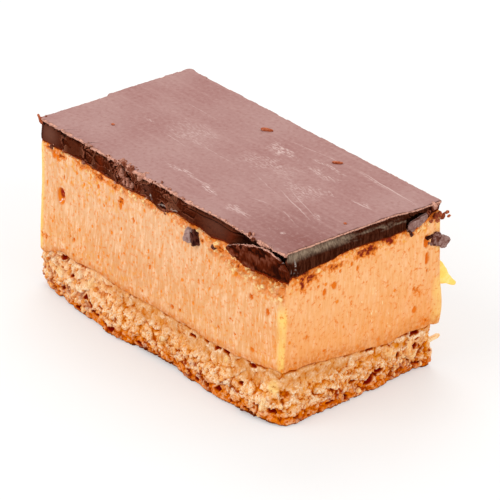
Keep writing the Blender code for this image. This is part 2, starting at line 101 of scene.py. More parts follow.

# Colours of the small pieces, from dark to pale; each piece is darker where sunk and paler where it
# stands out, as painted shade and highlight, around a tone of its own
CHIP_COLOURS = ((0.026, 0.003, 0.002), (0.14, 0.040, 0.024), (0.42, 0.27, 0.24))
CURL_COLOURS = ((0.10, 0.008, 0.002), (0.40, 0.085, 0.030), (0.75, 0.30, 0.17))
SHARD_COLOURS = ((0.04, 0.004, 0.001), (0.25, 0.066, 0.032), (0.68, 0.35, 0.255))
CRUMB_COLOURS = ((0.66, 0.15, 0.01), (0.88, 0.38, 0.10), (1.0, 0.72, 0.40))
TONGUE_COLOURS = ((1.0, 0.52, 0.08), (1.0, 0.64, 0.13), (1.0, 0.76, 0.30))

# A hump or dip along a face: its place, how far it spreads and how high it is, in millimetres
Hump = namedtuple("Hump", "place spread height")
# An ellipse on a face: its place along and up the face and its half sizes, in millimetres, and its strength
Spot = namedtuple("Spot", "along up half_along half_up strength")


def rows(kind, *values):
    """One record of the kind for each row of values."""
    return tuple(kind(*row) for row in values)


def ramp(start, end, value):
    """Smooth step: with t the clipped share of the way from start to end, t squared times (3 - 2t)."""
    share = np.clip((value - start) / (end - start), 0.0, 1.0)
    return share * share * (3.0 - 2.0 * share)


def hill(distance, width):
    """Bell curve: e to the power of minus the squared ratio of distance to width."""
    return np.exp(-((distance / width) ** 2))


def humps(along, wanted):
    """Sum of each hump's height times its bell curve along one direction."""
    total = np.zeros_like(along)
    for hump in wanted:
        total += hump.height * MM * hill(along - hump.place * MM, hump.spread * MM)
    return total


def cell_random(cells, seed):
    """A repeatable random number from 0 to 1 for each whole-number cell, by mixing its bits."""
    mixed = (cells @ np.array(HASH_STEPS) + seed * HASH_SEED_STEP) & HASH_MASK
    for shift, step in HASH_MIXERS:
        mixed = ((mixed ^ (mixed >> shift)) * step) & HASH_MASK
    return mixed / HASH_MASK


def soft_noise(points, size, seed):
    """Smooth noise from -1 to 1: random values at the corners of a lattice, blended by smooth steps
    between them."""
    scaled = points / np.asarray(size)
    cell = np.floor(scaled).astype(np.int64)
    eased = ramp(0.0, 1.0, scaled - cell)
    total = np.zeros(points.shape[:-1])
    for corner in np.ndindex(2, 2, 2):
        share = np.prod(np.where(corner, eased, 1.0 - eased), axis=-1)
        total += share * cell_random(cell + np.array(corner), seed)
    return total * 2.0 - 1.0


def layered_noise(points, size, seed, octaves=3):
    """Sum of soft noises, each half the size and half the height of the one before, scaled to about -1
    to 1."""
    total = np.zeros(points.shape[:-1])
    for octave in range(octaves):
        total += soft_noise(points, np.asarray(size) / 2 ** octave, seed + 50 * octave) / 2 ** octave
    return total / (2.0 - 2.0 / 2 ** octaves)


def scattered_cells(points, size, seed):
    """Distances, in cell sizes, to the nearest and second nearest of points scattered one to a cell, a
    random number from 0 to 1 that belongs to the nearest, and the way from it."""
    scaled = points / np.asarray(size)
    cell = np.floor(scaled).astype(np.int64)
    nearest = np.full(points.shape[:-1], np.inf)
    second = nearest.copy()
    value = np.zeros_like(nearest)
    offset = np.zeros_like(scaled)
    for step in np.ndindex(3, 3, 3):
        neighbour = cell + np.array(step) - 1
        centre = np.stack([cell_random(neighbour, seed + axis) for axis in range(3)], axis=-1)
        away = scaled - neighbour - centre
        distance = np.linalg.norm(away, axis=-1)
        closer = distance < nearest
        second = np.where(closer, nearest, np.minimum(second, distance))
        value = np.where(closer, cell_random(neighbour, seed + 7), value)
        offset = np.where(closer[..., None], away, offset)
        nearest = np.where(closer, distance, nearest)
    return nearest, second, value, offset


Fragments = namedtuple("Fragments", "height border value dome")


def fragments(points, size, seed):
    """Broken pieces, one for each scattered point. Each is a plane of random height and tilt, so the
    height runs from about -1 to 1 and jumps where two pieces meet. Border is 1 there and 0 inside a
    piece. Dome is 1 in the middle of a piece and falls with the square of the distance from it."""
    nearest, second, value, offset = scattered_cells(points, size, seed)
    own = np.floor(value * FRAGMENT_NUMBERS).astype(np.int64)
    tilt = np.stack([cell_random(np.stack([own, own + axis, own - axis], axis=-1), seed + 20 + axis)
                     for axis in range(3)], axis=-1) - 0.5
    height = (value - 0.5) * FRAGMENT_STEP + (tilt * offset).sum(axis=-1) * FRAGMENT_TILT
    border = 1.0 - np.clip((second - nearest) / BORDER_WIDTH, 0.0, 1.0)
    return Fragments(height, border, value, 1.0 - np.clip(nearest, 0.0, 1.0) ** 2)


def warped(points, size, depth, seed):
    """Points moved by three soft noises, so that what is read at them bends and frays."""
    shift = np.stack([soft_noise(points, size, seed + axis) for axis in range(3)], axis=-1)
    return points + shift * depth


# Sizes and colours that a user would change

def length_prop(name, description, default):
    return bpy.props.FloatProperty(name=name, description=description, default=default, unit="LENGTH")


def colour_prop(name, description, default):
    return bpy.props.FloatVectorProperty(
        name=name, description=description, default=default, size=3, subtype="COLOR", min=0.0, max=1.0)


class ShortbreadSizes(bpy.types.PropertyGroup):
    """Sizes of the bar and of its relief"""
    length: length_prop("Length", "Length of the bar along X", 76 * MM)
    width: length_prop("Width", "Width of the bar along Y", 40 * MM)
    height: length_prop("Height", "Height of the bar", CHOCOLATE_BOX[1][2])
    base_height: length_prop("Base height", "Height of the shortbread", 10 * MM)
    chocolate_thickness: length_prop("Chocolate thickness", "Thickness of the chocolate", 4.9 * MM)
    crumb_relief: length_prop("Crumb relief", "Depth between the base's crumbs", 0.6 * MM)
    grain_relief: length_prop("Grain relief", "Depth between the base's fine grains", 0.3 * MM)
    snap_relief: length_prop("Snap relief", "Roughness of the chocolate's snapped face", 0.3 * MM)


class ShortbreadColours(bpy.types.PropertyGroup):
    """Colours of the bar's layers"""
    crumb_pale: colour_prop("Pale crumb", "Crests of the base", (1.0, 0.70, 0.44))
    crumb_tan: colour_prop("Tan crumb", "Smeared band under the caramel", (0.66, 0.315, 0.145))
    crumb_baked: colour_prop("Baked crumb", "Lower part and foot of the base", (0.74, 0.165, 0.020))
    # Painted shade inside the pits between the base's crumbs
    crumb_pit_shade: colour_prop("Crumb hollow", "Pits between the base's crumbs", (0.22, 0.005, 0.0005))
    caramel: colour_prop("Caramel", "Cut caramel", (0.81, 0.40, 0.165))
    caramel_pale: colour_prop("Pale caramel", "Raised streaks of the caramel", (1.0, 0.65, 0.40))
    caramel_deep: colour_prop("Deep caramel", "Pits of the caramel", (0.84, 0.22, 0.012))
    # Painted glow of light shining through thin caramel
    caramel_painted_glow: colour_prop("Thin caramel", "Caramel where light shines through", (1.0, 0.66, 0.17))
    chocolate: colour_prop("Chocolate", "Snapped face of the chocolate", (0.052, 0.007, 0.002))
    # Painted highlight on the crests of rubble and torn edges
    chocolate_crest_highlight: colour_prop("Rough chocolate", "Rubble and torn edges", (0.32, 0.10, 0.055))
    chocolate_rim: colour_prop("Chocolate rim", "Thin broken edge of the top", (0.74, 0.38, 0.28))
    # The top's own bloomed colour, made light enough to carry its sheen as painted reflection
    chocolate_top: colour_prop("Chocolate top", "Dull set face of the chocolate", (0.43, 0.252, 0.23))
    chocolate_scuff: colour_prop("Chocolate scuff", "Pale scuffs on the top", (0.70, 0.52, 0.48))


class ShortbreadStage(bpy.types.PropertyGroup):
    """Floor, light and camera"""
    floor_colour: colour_prop("Floor", "Colour of the floor", (0.54, 0.555, 0.565))
    sky_strength: bpy.props.FloatProperty(
        name="Sky", description="Strength of the light all round", default=0.78)
    lens: bpy.props.FloatProperty(name="Lens", description="Focal length on a 36 mm sensor", default=252.0)
    azimuth: bpy.props.FloatProperty(
        name="Azimuth", description="Camera's turn from the front", subtype="ANGLE",
        default=math.radians(48.451))
    elevation: bpy.props.FloatProperty(
        name="Elevation", description="Camera's height angle", subtype="ANGLE",
        default=math.radians(27.145))
    roll: bpy.props.FloatProperty(
        name="Roll", description="Camera's turn about its view", subtype="ANGLE",
        default=math.radians(2.293))
    distance: length_prop("Distance", "Camera's distance", 714.8 * MM)
    shift_right: length_prop("Shift right", "Camera's place to the right of the bar's origin", 3.76 * MM)
    shift_up: length_prop("Shift up", "Camera's place above the bar's origin across the view", 15.09 * MM)


# Surfaces carried round the bar

BarGrid = namedtuple("BarGrid", "x y inset share out_x out_y front right back left")


def rounded_outline(half_x, half_y, radius, steps):
    """Outline of a rectangle with rounded corners, from the front left corner round to the left side:
    each side is a straight run with a step of its own, each corner a quarter circle. Returns points and
    their outward directions."""
    left, front = radius - half_x, radius - half_y
    right, back = -left, -front
    corner_count = max(4, int(round(radius * math.pi / 2 / steps[0])))
    runs = []
    sides = ((left, front, right, front, -90), (right, front, right, back, 0),
             (right, back, left, back, 90), (left, back, left, front, 180))
    for (x0, y0, x1, y1, facing), step in zip(sides, steps):
        count = int(round(math.hypot(x1 - x0, y1 - y0) / step))
        share = np.arange(count) / count
        angle = np.full(count, math.radians(facing))
        runs.append(np.stack([x0 + (x1 - x0) * share, y0 + (y1 - y0) * share, angle]))
        share = np.arange(corner_count) / corner_count
        angle = math.radians(facing) + share * math.pi / 2
        runs.append(np.stack([np.full(corner_count, x1), np.full(corner_count, y1), angle]))
    x, y, angle = np.concatenate(runs, axis=1)
    out_x, out_y = np.cos(angle), np.sin(angle)
    return x + radius * out_x, y + radius * out_y, out_x, out_y


def bar_grid(sizes, radius, steps, wall_rows, foot_insets, crown_insets):
    """Rows by columns of a layer. A column runs from the middle of the foot out to the rim, up the
    wall, and in over the crown. Level with the wall, inset is 0; on foot and crown the outline shrinks
    towards the middle by it."""
    half_x, half_y = sizes.length / 2, sizes.width / 2
    x, y, out_x, out_y = rounded_outline(half_x, half_y, radius, steps)
    inset = np.concatenate([foot_insets[::-1], np.zeros(wall_rows), crown_insets]) * MM
    wall_shares = np.linspace(0, 1, wall_rows)
    share = np.concatenate([np.zeros(len(foot_insets)), wall_shares, np.ones(len(crown_insets))])
    inset, share = inset[:, None], share[:, None]
    ones = np.ones_like(inset)
    weights = [np.clip(side, 0.0, 1.0) ** 2 * ones for side in (-out_y, out_x, out_y, -out_x)]
    return BarGrid(x * ones, y * ones, inset + 0 * x, share + 0 * x, out_x * ones, out_y * ones, *weights)


def on_bar(grid, sizes, outward, height):
    """Points of the grid: the outline moved outwards, fully on the wall and less with the inset, and
    then shrunk towards the middle by the inset. Height is a function of the level place and the share
    of the way up."""
    pull = np.clip(1.0 - grid.inset / SKIN_DEPTH, 0.0, 1.0)
    x = (grid.x + grid.out_x * outward * pull) * (1.0 - grid.inset / (sizes.length / 2))
    y = (grid.y + grid.out_y * outward * pull) * (1.0 - grid.inset / (sizes.width / 2))
    return np.stack([x, y, height(x, y, grid.share)], axis=-1)


def plain_wall(grid, sizes, height):
    """Height and place of each point of the grid on the smooth block."""
    z = on_bar(grid, sizes, 0 * grid.x, height)[..., 2]
    return z, np.stack([grid.x, grid.y, z], axis=-1)


def new_piece(name, vertices, faces, masks, material):
    """A mesh object at the origin with float masks on its points."""
    mesh = bpy.data.meshes.new(name)
    mesh.from_pydata(vertices.reshape(-1, 3), [], faces)
    for mask_name, values in masks.items():
        layer = mesh.attributes.new(mask_name, "FLOAT", "POINT")
        layer.data.foreach_set("value", np.ascontiguousarray(values, dtype=np.float32).ravel())
    mesh.polygons.foreach_set("use_smooth", np.full(len(mesh.polygons), True))
    mesh.materials.append(material)
    mesh.update()
    piece = bpy.data.objects.new(name, mesh)
    bpy.context.scene.collection.objects.link(piece)
    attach(piece, "root")
    return piece


def belt_faces(rows, columns):
    """Four-sided faces between neighbouring rows and columns, closed round the columns, and one lid at
    each end."""
    index = np.arange(rows * columns).reshape(rows, columns)
    beside = np.roll(index, -1, axis=1)
    quads = np.stack([index[:-1], beside[:-1], beside[1:], index[1:]], axis=-1).reshape(-1, 4).tolist()
    return quads + [index[0][::-1].tolist(), index[-1].tolist()]


def mean_of_neighbours(values, reach):
    """Mean over a square of rows and columns, wrapped round the columns and held at the first and last
    rows."""
    total = values
    for axis, mode in ((0, "edge"), (1, "wrap")):
        width = [(0, 0), (0, 0)]
        width[axis] = (reach, reach)
        sums = np.cumsum(np.pad(total, width, mode=mode), axis=axis)
        sums = np.concatenate([np.zeros_like(np.take(sums, [0], axis)), sums], axis)
        count = total.shape[axis]
        last = np.take(sums, np.arange(count) + 2 * reach + 1, axis)
        total = (last - np.take(sums, np.arange(count), axis)) / (2 * reach + 1)
    return total


# Lines between the layers

BASE_LINE_HUMPS = rows(Hump,
    (-36.5, 2.2, -0.9), (-30.8, 2.2, 0.3), (-26.5, 2.2, -0.5), (-19.2, 3.0, 0.3), (-9.2, 3.0, -0.3),
    (8.8, 4.0, 0.15), (16.3, 3.0, -0.4))
BASE_LINE_END_HUMPS = rows(Hump, (7.6, 3.0, -0.6), (14.5, 4.0, 0.2))
CHOCOLATE_LINE_HUMPS = rows(Hump,
    (-31.9, 2.0, -0.25), (-25.3, 2.5, 0.15), (0.2, 1.7, -0.9), (4.8, 2.0, 0.4), (15.5, 2.0, -0.6),
    (-11, 3.0, -0.2))
CHOCOLATE_LINE_END_HUMPS = rows(Hump,
    (-19, 3.5, -0.6), (-12, 3.0, 0.3), (-7.0, 3.0, 0.4), (6.0, 5.0, -0.4), (18.8, 2.2, 1.8))


def near_faces(x, y, sizes, rim):
    depth_in = np.minimum(sizes.length / 2 - np.abs(x), sizes.width / 2 - np.abs(y))
    return np.clip(1.0 - depth_in / rim, 0.0, 1.0)


def which_face(x, y, sizes):
    """How much each level place belongs to the front and the right face."""
    front = ramp(-sizes.width / 2 + 4 * MM, -sizes.width / 2 + 1 * MM, y)
    right = ramp(sizes.length / 2 - 4 * MM, sizes.length / 2 - 1 * MM, x)
    return front * (1.0 - 0.5 * right), right * (1.0 - 0.5 * front)


def caramel_line(x, y, sizes):
    """Height of the line between base and caramel: the base's height, a climb to the front right
    corner, a dip at the left, and the humps seen along the two visible faces, all fading out inside the
    bar."""
    half_x, half_y = sizes.length / 2, sizes.width / 2
    climb = 1.9 * MM * hill(x - half_x, 9 * MM) * hill(y + half_y, 17 * MM)
    dip = 1.5 * MM * ramp(-28 * MM, -half_x, x)
    front, right = which_face(x, y, sizes)
    seen = front * humps(x, BASE_LINE_HUMPS) + right * humps(y, BASE_LINE_END_HUMPS)
    points = np.stack([x, y, 0 * x], axis=-1)
    ragged = 0.28 * MM * layered_noise(points, 2.2 * MM, 70)
    return sizes.base_height + near_faces(x, y, sizes, CARAMEL_RIM) * (climb - dip + seen + ragged)


def chocolate_line(x, y, sizes):
    """Height of the line between caramel and chocolate: level, with a rise along the right end and
    small humps."""
    half_x = sizes.length / 2
    rise = 1.2 * MM * hill(x - half_x, 9 * MM) * ramp(-11 * MM, -2 * MM, y)
    front, right = which_face(x, y, sizes)
    seen = front * humps(x, CHOCOLATE_LINE_HUMPS) + right * humps(y, CHOCOLATE_LINE_END_HUMPS)
    points = np.stack([x, y, 0 * x], axis=-1)
    ragged = 0.22 * MM * layered_noise(points, 1.6 * MM, 71)
    level = sizes.height - sizes.chocolate_thickness
    return level + near_faces(x, y, sizes, CHOCOLATE_RIM) * (rise + seen + ragged)


# Shortbread base

FRONT_HOLLOWS = rows(Spot,
    (16.6, 9.9, 0.9, 0.5, 1.1), (19.2, 9.8, 1.1, 0.6, 1.3), (21.4, 9.6, 1.1, 0.6, 1.3),
    (25.0, 9.4, 0.8, 0.4, 1.0), (-27.0, 10.0, 0.9, 0.4, 1.0), (-8.5, 9.9, 1.0, 0.4, 1.0),
    (-34.0, 2.5, 1.0, 0.8, 0.9), (-29.4, 2.6, 1.0, 0.6, 1.0), (-21.1, 3.5, 1.0, 0.7, 1.1),
    (-19.2, 3.4, 1.2, 0.5, 1.1), (-22.8, 1.0, 1.2, 0.6, 1.0), (-20.0, 0.9, 1.0, 0.6, 1.0),
    (-16.3, 2.3, 1.3, 0.6, 1.1), (-13.8, 1.7, 1.4, 0.6, 1.1), (-12.0, 1.0, 1.0, 0.6, 1.0),
    (-15.0, 4.4, 0.9, 0.5, 0.9), (-30.0, 9.0, 1.4, 0.5, 0.9), (-26.0, 6.5, 0.9, 0.4, 0.8),
    (-3.0, 1.2, 1.2, 0.5, 0.9), (3.0, 1.4, 0.9, 0.4, 0.8), (7.0, 1.8, 1.0, 0.5, 0.9),
    (12.0, 8.9, 1.3, 0.4, 0.8), (15.4, 9.4, 0.9, 0.45, 1.1), (18.4, 9.4, 1.6, 0.6, 1.1),
    (21.5, 9.6, 1.2, 0.6, 1.1), (24.3, 9.6, 1.0, 0.5, 0.9), (28.9, 10.0, 1.2, 0.4, 0.9),
    (12.2, 3.6, 0.7, 0.4, 1.0), (15.1, 1.0, 0.9, 0.5, 1.0), (18.1, 1.7, 0.9, 0.6, 1.1),
    (21.4, 2.1, 1.2, 0.7, 1.1), (27.6, 5.6, 1.0, 0.6, 1.1), (29.2, 4.8, 0.8, 0.5, 1.0),
    (25.7, 2.7, 0.9, 0.5, 1.0), (26.5, 1.0, 1.4, 0.6, 1.1), (30.6, 1.1, 1.2, 0.6, 1.1),
    (35.9, 3.2, 1.3, 0.8, 1.1), (33.0, 3.0, 0.8, 0.8, 0.9))
RIGHT_HOLLOWS = rows(Spot,
    (-16.5, 1.4, 1.2, 0.6, 0.9), (-11.8, 0.8, 1.6, 0.6, 1.1), (-6.5, 1.4, 1.4, 0.5, 1.1),
    (-2.6, 1.1, 1.2, 0.5, 1.0), (-1.2, 4.0, 1.0, 0.6, 1.0), (2.3, 2.5, 1.5, 0.7, 1.1),
    (4.2, 3.4, 1.0, 0.8, 1.0), (5.9, 4.3, 1.2, 0.7, 1.1), (-2.9, 7.9, 0.8, 0.4, 0.8),
    (-2.3, 10.6, 1.8, 0.4, 0.9), (2.9, 10.0, 1.4, 0.4, 0.9), (5.9, 9.6, 1.2, 0.5, 1.0),
    (8.4, 8.6, 0.9, 0.8, 1.0), (11.5, 10.2, 1.8, 0.6, 1.1), (15.0, 9.6, 1.6, 0.6, 1.1),
    (10.0, 3.4, 1.3, 0.8, 1.1), (11.8, 2.0, 1.4, 0.6, 1.1), (11.2, 6.6, 0.6, 1.4, 0.9),
    (14.8, 3.6, 1.0, 1.0, 1.1), (15.6, 6.6, 0.6, 1.4, 0.9), (17.1, 5.6, 0.7, 1.2, 1.0),
    (18.0, 1.6, 1.2, 0.6, 1.0))
BUTTER_PATCHES = rows(Spot,
    (35.8, 8.0, 1.6, 1.9, 1.0), (34.4, 4.1, 0.6, 1.7, 1.0), (22.0, 8.4, 0.6, 1.0, 0.8),
    (-31.0, 6.0, 2.4, 1.3, 0.6), (-20.0, 7.0, 3.0, 1.2, 0.6), (3.0, 4.6, 3.0, 1.6, 0.6))
BASE_FOOT_HUMPS = rows(Hump, (-10.0, 5.0, 1.2), (7.0, 4.0, -0.5), (19.8, 5.0, 0.4), (31.0, 3.0, 0.2))


def spot_field(along, up, spots):
    """Strongest of the named spots at each point, each a bell curve over an ellipse times its
    strength."""
    total = np.zeros_like(along)
    for spot in spots:
        reach = np.hypot((along / MM - spot.along) / spot.half_along, (up / MM - spot.up) / spot.half_up)
        total = np.maximum(total, spot.strength * hill(reach, 1.0))
    return total


def face_spots(grid, z, front_spots, right_spots=()):
    """The named spots of the front face and of the right face, each kept to its own face."""
    return grid.front * spot_field(grid.x, z, front_spots) + grid.right * spot_field(grid.y, z, right_spots)


def base_flare(grid, z, sizes):
    """How far the base's wall stands out of the block: a flare low on the front, ends that lean, a foot
    tucked in below a bump on the left, and a far corner that spreads to the back."""
    half_x, half_y = sizes.length / 2, sizes.width / 2
    front = 1.7 * MM * ramp(-35 * MM, -24 * MM, grid.x) * ramp(half_x, 33 * MM, grid.x)
    front = front + humps(grid.x, BASE_FOOT_HUMPS)
    right = -0.9 * MM * grid.y / half_y - 0.5 * MM * ramp(6 * MM, 20 * MM, grid.y)
    back = 0.3 * MM + 0.4 * MM * hill(grid.x - 35 * MM, 9 * MM)
    flare = grid.front * front + grid.right * right + grid.back * back
    flare = flare * ramp(sizes.base_height, 3 * MM, z)
    left = 2.6 * MM * ramp(2.4 * MM, 0, z) + 0.9 * MM * hill(z - 5.1 * MM, 1.1 * MM)
    near_left = np.clip(grid.left + 0.6 * grid.front * hill(grid.x + half_x, 3 * MM), 0, 1)
    return flare - near_left * left - 0.7 * MM * hill(np.hypot(grid.x - half_x, grid.y + half_y), 2.2 * MM)


def base_surface(sizes):
    """The base's wall, foot and crown. Outward relief is the flare, plus rounded clumps and grains
    (domes with tilted tops), plus fine broken grit, minus pits that gather at named hollows. The relief
    is weaker in the lowest half millimetre and in the band smeared under the caramel. Returns points
    and masks."""
    grid = bar_grid(sizes, 1.5 * MM, (0.155 * MM, 0.155 * MM, 0.25 * MM, 0.25 * MM), 64,
                    (0.15, 0.5, 1.4, 3, 6, 12), (0.25, 0.6, 1.2, 2.5, 5, 12))

    def height(x, y, share):
        return share * (caramel_line(x, y, sizes) - LAYER_GAP)

    z, wall = plain_wall(grid, sizes, height)
    top = caramel_line(grid.x, grid.y, sizes)
    lowest = np.clip(1.0 - z / (0.6 * MM), 0.0, 1.0)
    tuck = 0.5 * MM * (1.0 - np.sqrt(1.0 - lowest ** 2))

    smear_noise = layered_noise(wall, (7 * MM, 7 * MM, 4 * MM), 41)
    smear_side = grid.front * ramp(-22 * MM, -12 * MM, grid.x) + grid.right + grid.back + grid.left
    smear_side = np.clip(smear_side, 0, 1)
    smear = ramp(top - 4.4 * MM, top - 1.2 * MM, z + 2.6 * MM * smear_noise) * smear_side
    crust = 0.45 * ramp(0.8 * MM, 0.2 * MM, z)

    bent = warped(wall, 0.9 * MM, 0.32 * MM, 15)
    coarse = fragments(bent, (2.7 * MM, 2.7 * MM, 2.1 * MM), 11)
    middle = fragments(warped(bent, 0.6 * MM, 0.25 * MM, 48), 1.0 * MM, 16)
    fine = fragments(warped(bent, 0.4 * MM, 0.14 * MM, 18), 0.55 * MM, 17)
    open_end = grid.front * ramp(-18 * MM, -30 * MM, grid.x) + grid.right * ramp(4 * MM, 11 * MM, grid.y)
    open_end = 0.75 + 0.6 * np.clip(open_end, 0, 1)
    lumps = sizes.crumb_relief * open_end * (0.75 * coarse.dome + 1.1 * coarse.height - 0.5)
    grains = sizes.grain_relief * (0.8 * middle.dome + 0.8 * middle.height - 0.5)
    grits = 0.4 * sizes.grain_relief * fine.height

    hollows = face_spots(grid, z, FRONT_HOLLOWS, RIGHT_HOLLOWS)
    hidden = (grid.back + grid.left) * ramp(5.5 * MM, 3 * MM, z)
    hollows = hollows + 0.9 * hidden * ramp(0.25, 0.7, soft_noise(wall, (2.4 * MM, 2.4 * MM, 1.4 * MM), 45))
    pit_noise = 0.6 * soft_noise(bent, (1.1 * MM, 1.1 * MM, 0.8 * MM), 19) + 0.12 * middle.height
    pit = ramp(0.42, 0.72, pit_noise + 0.72 * hollows)
    line_pits = ramp(0.15, 0.5, soft_noise(bent, (1.4 * MM, 1.4 * MM, 0.7 * MM), 46) + 0.5 * hollows)
    at_line = hill(z - top, 0.5 * MM) * (0.35 + 0.65 * line_pits)
    quiet = (1.0 - 0.72 * smear) * (1.0 - 0.6 * crust)
    relief = lumps * (1.0 - 0.5 * smear) * (1.0 - 0.5 * crust) + (grains + grits) * quiet
    relief = relief - 0.75 * MM * pit * (1.0 - 0.5 * crust) - 0.4 * MM * at_line
    loose = ramp(-0.1, 0.5, soft_noise(wall, (5 * MM, 5 * MM, 3 * MM), 47) + open_end - 0.75)
    low = ramp(6.5 * MM, 3.0 * MM, z + 1.5 * MM * soft_noise(wall, 3 * MM, 50)) + np.clip(hollows, 0, 1)
    low = 0.25 + 0.75 * np.clip(low, 0, 1)
    gap = ramp(0.2, 0.9, coarse.border) * loose + 0.5 * ramp(0.3, 1.0, middle.border) * loose
    gap = np.clip(gap * ramp(-0.5, 0.3, soft_noise(bent, 1.5 * MM, 49)) * quiet * low, 0, 1)
    outward = base_flare(grid, z, sizes) - tuck + relief
    points = on_bar(grid, sizes, outward, height)

    lift = ramp(-6 * MM, -1 * MM, grid.x) * ramp(13 * MM, 6 * MM, grid.x) + hill(grid.x - 32 * MM, 5 * MM)
    lift = 0.6 * MM * grid.front * lift * (0.7 + 0.3 * soft_noise(wall, 5 * MM, 44))
    # Under is 1 on the foot and on a band at the bottom of the wall, wider where the foot is lifted; the
    # colour darkens it as a painted contact shadow
    under = np.where(grid.share > 0, ramp(0.55 * MM + 0.9 * lift, 0.2 * MM + 0.5 * lift, z), 1.0)
    points[..., 2] += lift * np.clip(1.0 - z / (3 * MM), 0, 1) * np.clip(1.0 - grid.inset / (3 * MM), 0, 1)

    broad = mean_of_neighbours(outward, 8)
    local = mean_of_neighbours(outward, 2)
    # Of these masks, hollow, crisp and gap darken the colour as painted shade in hollows, creases and the
    # gaps between clumps, pit and line do so in the pits and along the line under the caramel, and hollow
    # also lightens the crests as painted highlight
    masks = {
        "hollow": np.clip((broad - outward) / (0.5 * MM), -1.0, 1.0),
        "crisp": np.clip((local - outward) / (0.14 * MM), -1.0, 1.0) * low, "pit": pit, "smear": smear,
        "baked": ramp(4.2 * MM, 0.9 * MM, z + 1.3 * MM * layered_noise(wall, 2.4 * MM, 43)) * (
            0.7 + 0.3 * ramp(0.4, -0.3, middle.height + 0.4 * fine.height)), "line": at_line,
        "pale_end": grid.front * ramp(-8 * MM, -24 * MM, grid.x),
        "tint": middle.value * 0.4 + coarse.value * 0.6 - 0.5, "gap": gap,
        "open_end": np.clip(open_end - 0.75, 0, 1), "under": under,
        "butter": face_spots(grid, z, BUTTER_PATCHES),
        "right": grid.right * (0.35 + 0.9 * ramp(-6 * MM, 8 * MM, grid.y)),
    }
    return points, masks


# Caramel

FRONT_BUBBLES = rows(Spot,
    (-31.4, 22.5, 1.3, 1.95, 0.7), (-33.8, 31.0, 0.62, 0.95, 0.6), (-32.7, 30.6, 0.45, 0.8, 0.5),
    (28.3, 24.7, 0.55, 0.6, 0.9), (33.2, 23.5, 0.5, 0.8, 0.8), (4.6, 12.3, 0.55, 0.5, 0.8),
    (7.0, 12.6, 0.38, 0.4, 0.5), (-26.8, 14.4, 0.42, 0.45, 0.6), (-27.9, 14.8, 0.25, 0.28, 0.4),
    (-12.0, 29.4, 0.75, 0.5, 0.5), (-12.2, 28.0, 0.4, 1.0, 0.4), (29.0, 13.4, 0.55, 0.5, 0.45),
    (25.4, 20.0, 0.3, 0.3, 0.4), (22.5, 17.4, 0.4, 0.25, 0.4), (-30.5, 27.0, 0.3, 0.45, 0.4),
    (-19.5, 29.3, 0.4, 0.5, 0.45), (-26.8, 10.9, 0.35, 0.35, 0.4), (-2.6, 18.2, 0.4, 0.5, 0.4),
    (-4.5, 12.0, 0.3, 0.3, 0.4), (12.6, 21.5, 0.3, 0.5, 0.35), (-8.0, 26.4, 0.35, 0.7, 0.4),
    (19.0, 14.0, 0.45, 0.25, 0.45), (16.8, 14.3, 0.25, 0.2, 0.4), (24.0, 14.6, 0.4, 0.2, 0.4))
RIGHT_BUBBLES = rows(Spot,
    (-9.9, 26.6, 0.5, 0.8, 0.55), (-7.4, 27.3, 0.6, 0.85, 0.55), (14.5, 15.0, 0.6, 0.8, 0.5),
    (16.6, 29.6, 0.8, 1.5, 0.9), (16.9, 25.8, 0.55, 1.4, 0.8), (17.1, 23.0, 0.28, 0.35, 0.5),
    (-13.9, 18.0, 0.25, 0.6, 0.35), (-9.0, 13.5, 0.4, 0.25, 0.4), (-16.4, 13.1, 0.4, 0.25, 0.35),
    (13.9, 19.9, 0.35, 0.45, 0.45), (-17.0, 17.0, 0.2, 0.25, 0.35), (-3.0, 30.6, 0.4, 0.5, 0.4),
    (-1.5, 29.2, 0.35, 0.6, 0.4), (-6.0, 30.0, 0.3, 0.4, 0.4), (-11.5, 28.3, 0.3, 0.35, 0.4))
RIGHT_STAINS = rows(Spot,
    (-15.6, 30.4, 1.0, 2.0, 1.3), (-13.4, 30.7, 1.8, 1.1, 1.2), (-7.4, 31.4, 2.4, 0.8, 1.0),
    (-0.6, 32.1, 1.6, 1.0, 1.3), (1.6, 32.3, 1.8, 1.3, 1.5), (6.9, 32.7, 1.6, 1.1, 1.3),
    (12.6, 32.6, 0.6, 1.2, 0.8), (-15.5, 26.2, 0.5, 0.7, 0.5), (14.9, 19.3, 1.6, 1.3, 0.55),
    (17.5, 11.5, 1.6, 0.8, 0.5), (-18.0, 30.0, 1.2, 1.0, 0.5))
FRONT_STAINS = rows(Spot,
    (-36.0, 31.9, 1.2, 0.6, 0.9), (-31.5, 31.4, 1.6, 0.6, 0.9), (-25.5, 31.8, 2.2, 0.7, 0.7),
    (-19.0, 31.6, 2.0, 0.7, 1.0), (13.2, 30.7, 0.7, 0.5, 0.8), (18.3, 30.9, 1.0, 0.7, 1.0),
    (33.0, 30.0, 3.0, 0.8, 0.8), (-12.0, 28.9, 0.9, 0.7, 0.8), (37.0, 30.6, 1.2, 1.0, 0.9),
    (-36.0, 11.6, 1.5, 0.6, 0.7), (23.5, 29.2, 2.0, 0.6, 0.6), (24.0, 30.4, 1.6, 0.6, 0.9),
    (28.5, 30.0, 1.6, 0.6, 0.9), (-14.0, 31.2, 1.6, 0.6, 0.8), (6.0, 31.9, 1.5, 0.5, 0.6))
BUBBLE_GLINTS = rows(Spot,
    (-31.7, 21.4, 0.22, 0.3, 1.0), (-31.2, 21.6, 0.2, 0.35, 1.0), (-31.9, 20.9, 0.3, 0.2, 0.8))


def bubble_field(along, up, bubbles):
    """Depth of the named burst bubbles, each a smooth bowl over an ellipse, and how far into one each
    point lies."""
    depth = np.zeros_like(along)
    inside = np.zeros_like(along)
    for bubble in bubbles:
        aside = (along / MM - bubble.along) / bubble.half_along
        reach = np.hypot(aside, (up / MM - bubble.up) / bubble.half_up)
        bowl = np.clip(1.0 - reach ** 2, 0.0, 1.0)
        depth += bubble.strength * MM * np.sqrt(bowl)
        inside = np.maximum(inside, ramp(1.15, 0.8, reach) * min(1.0, bubble.strength / 0.4))
    return depth, inside


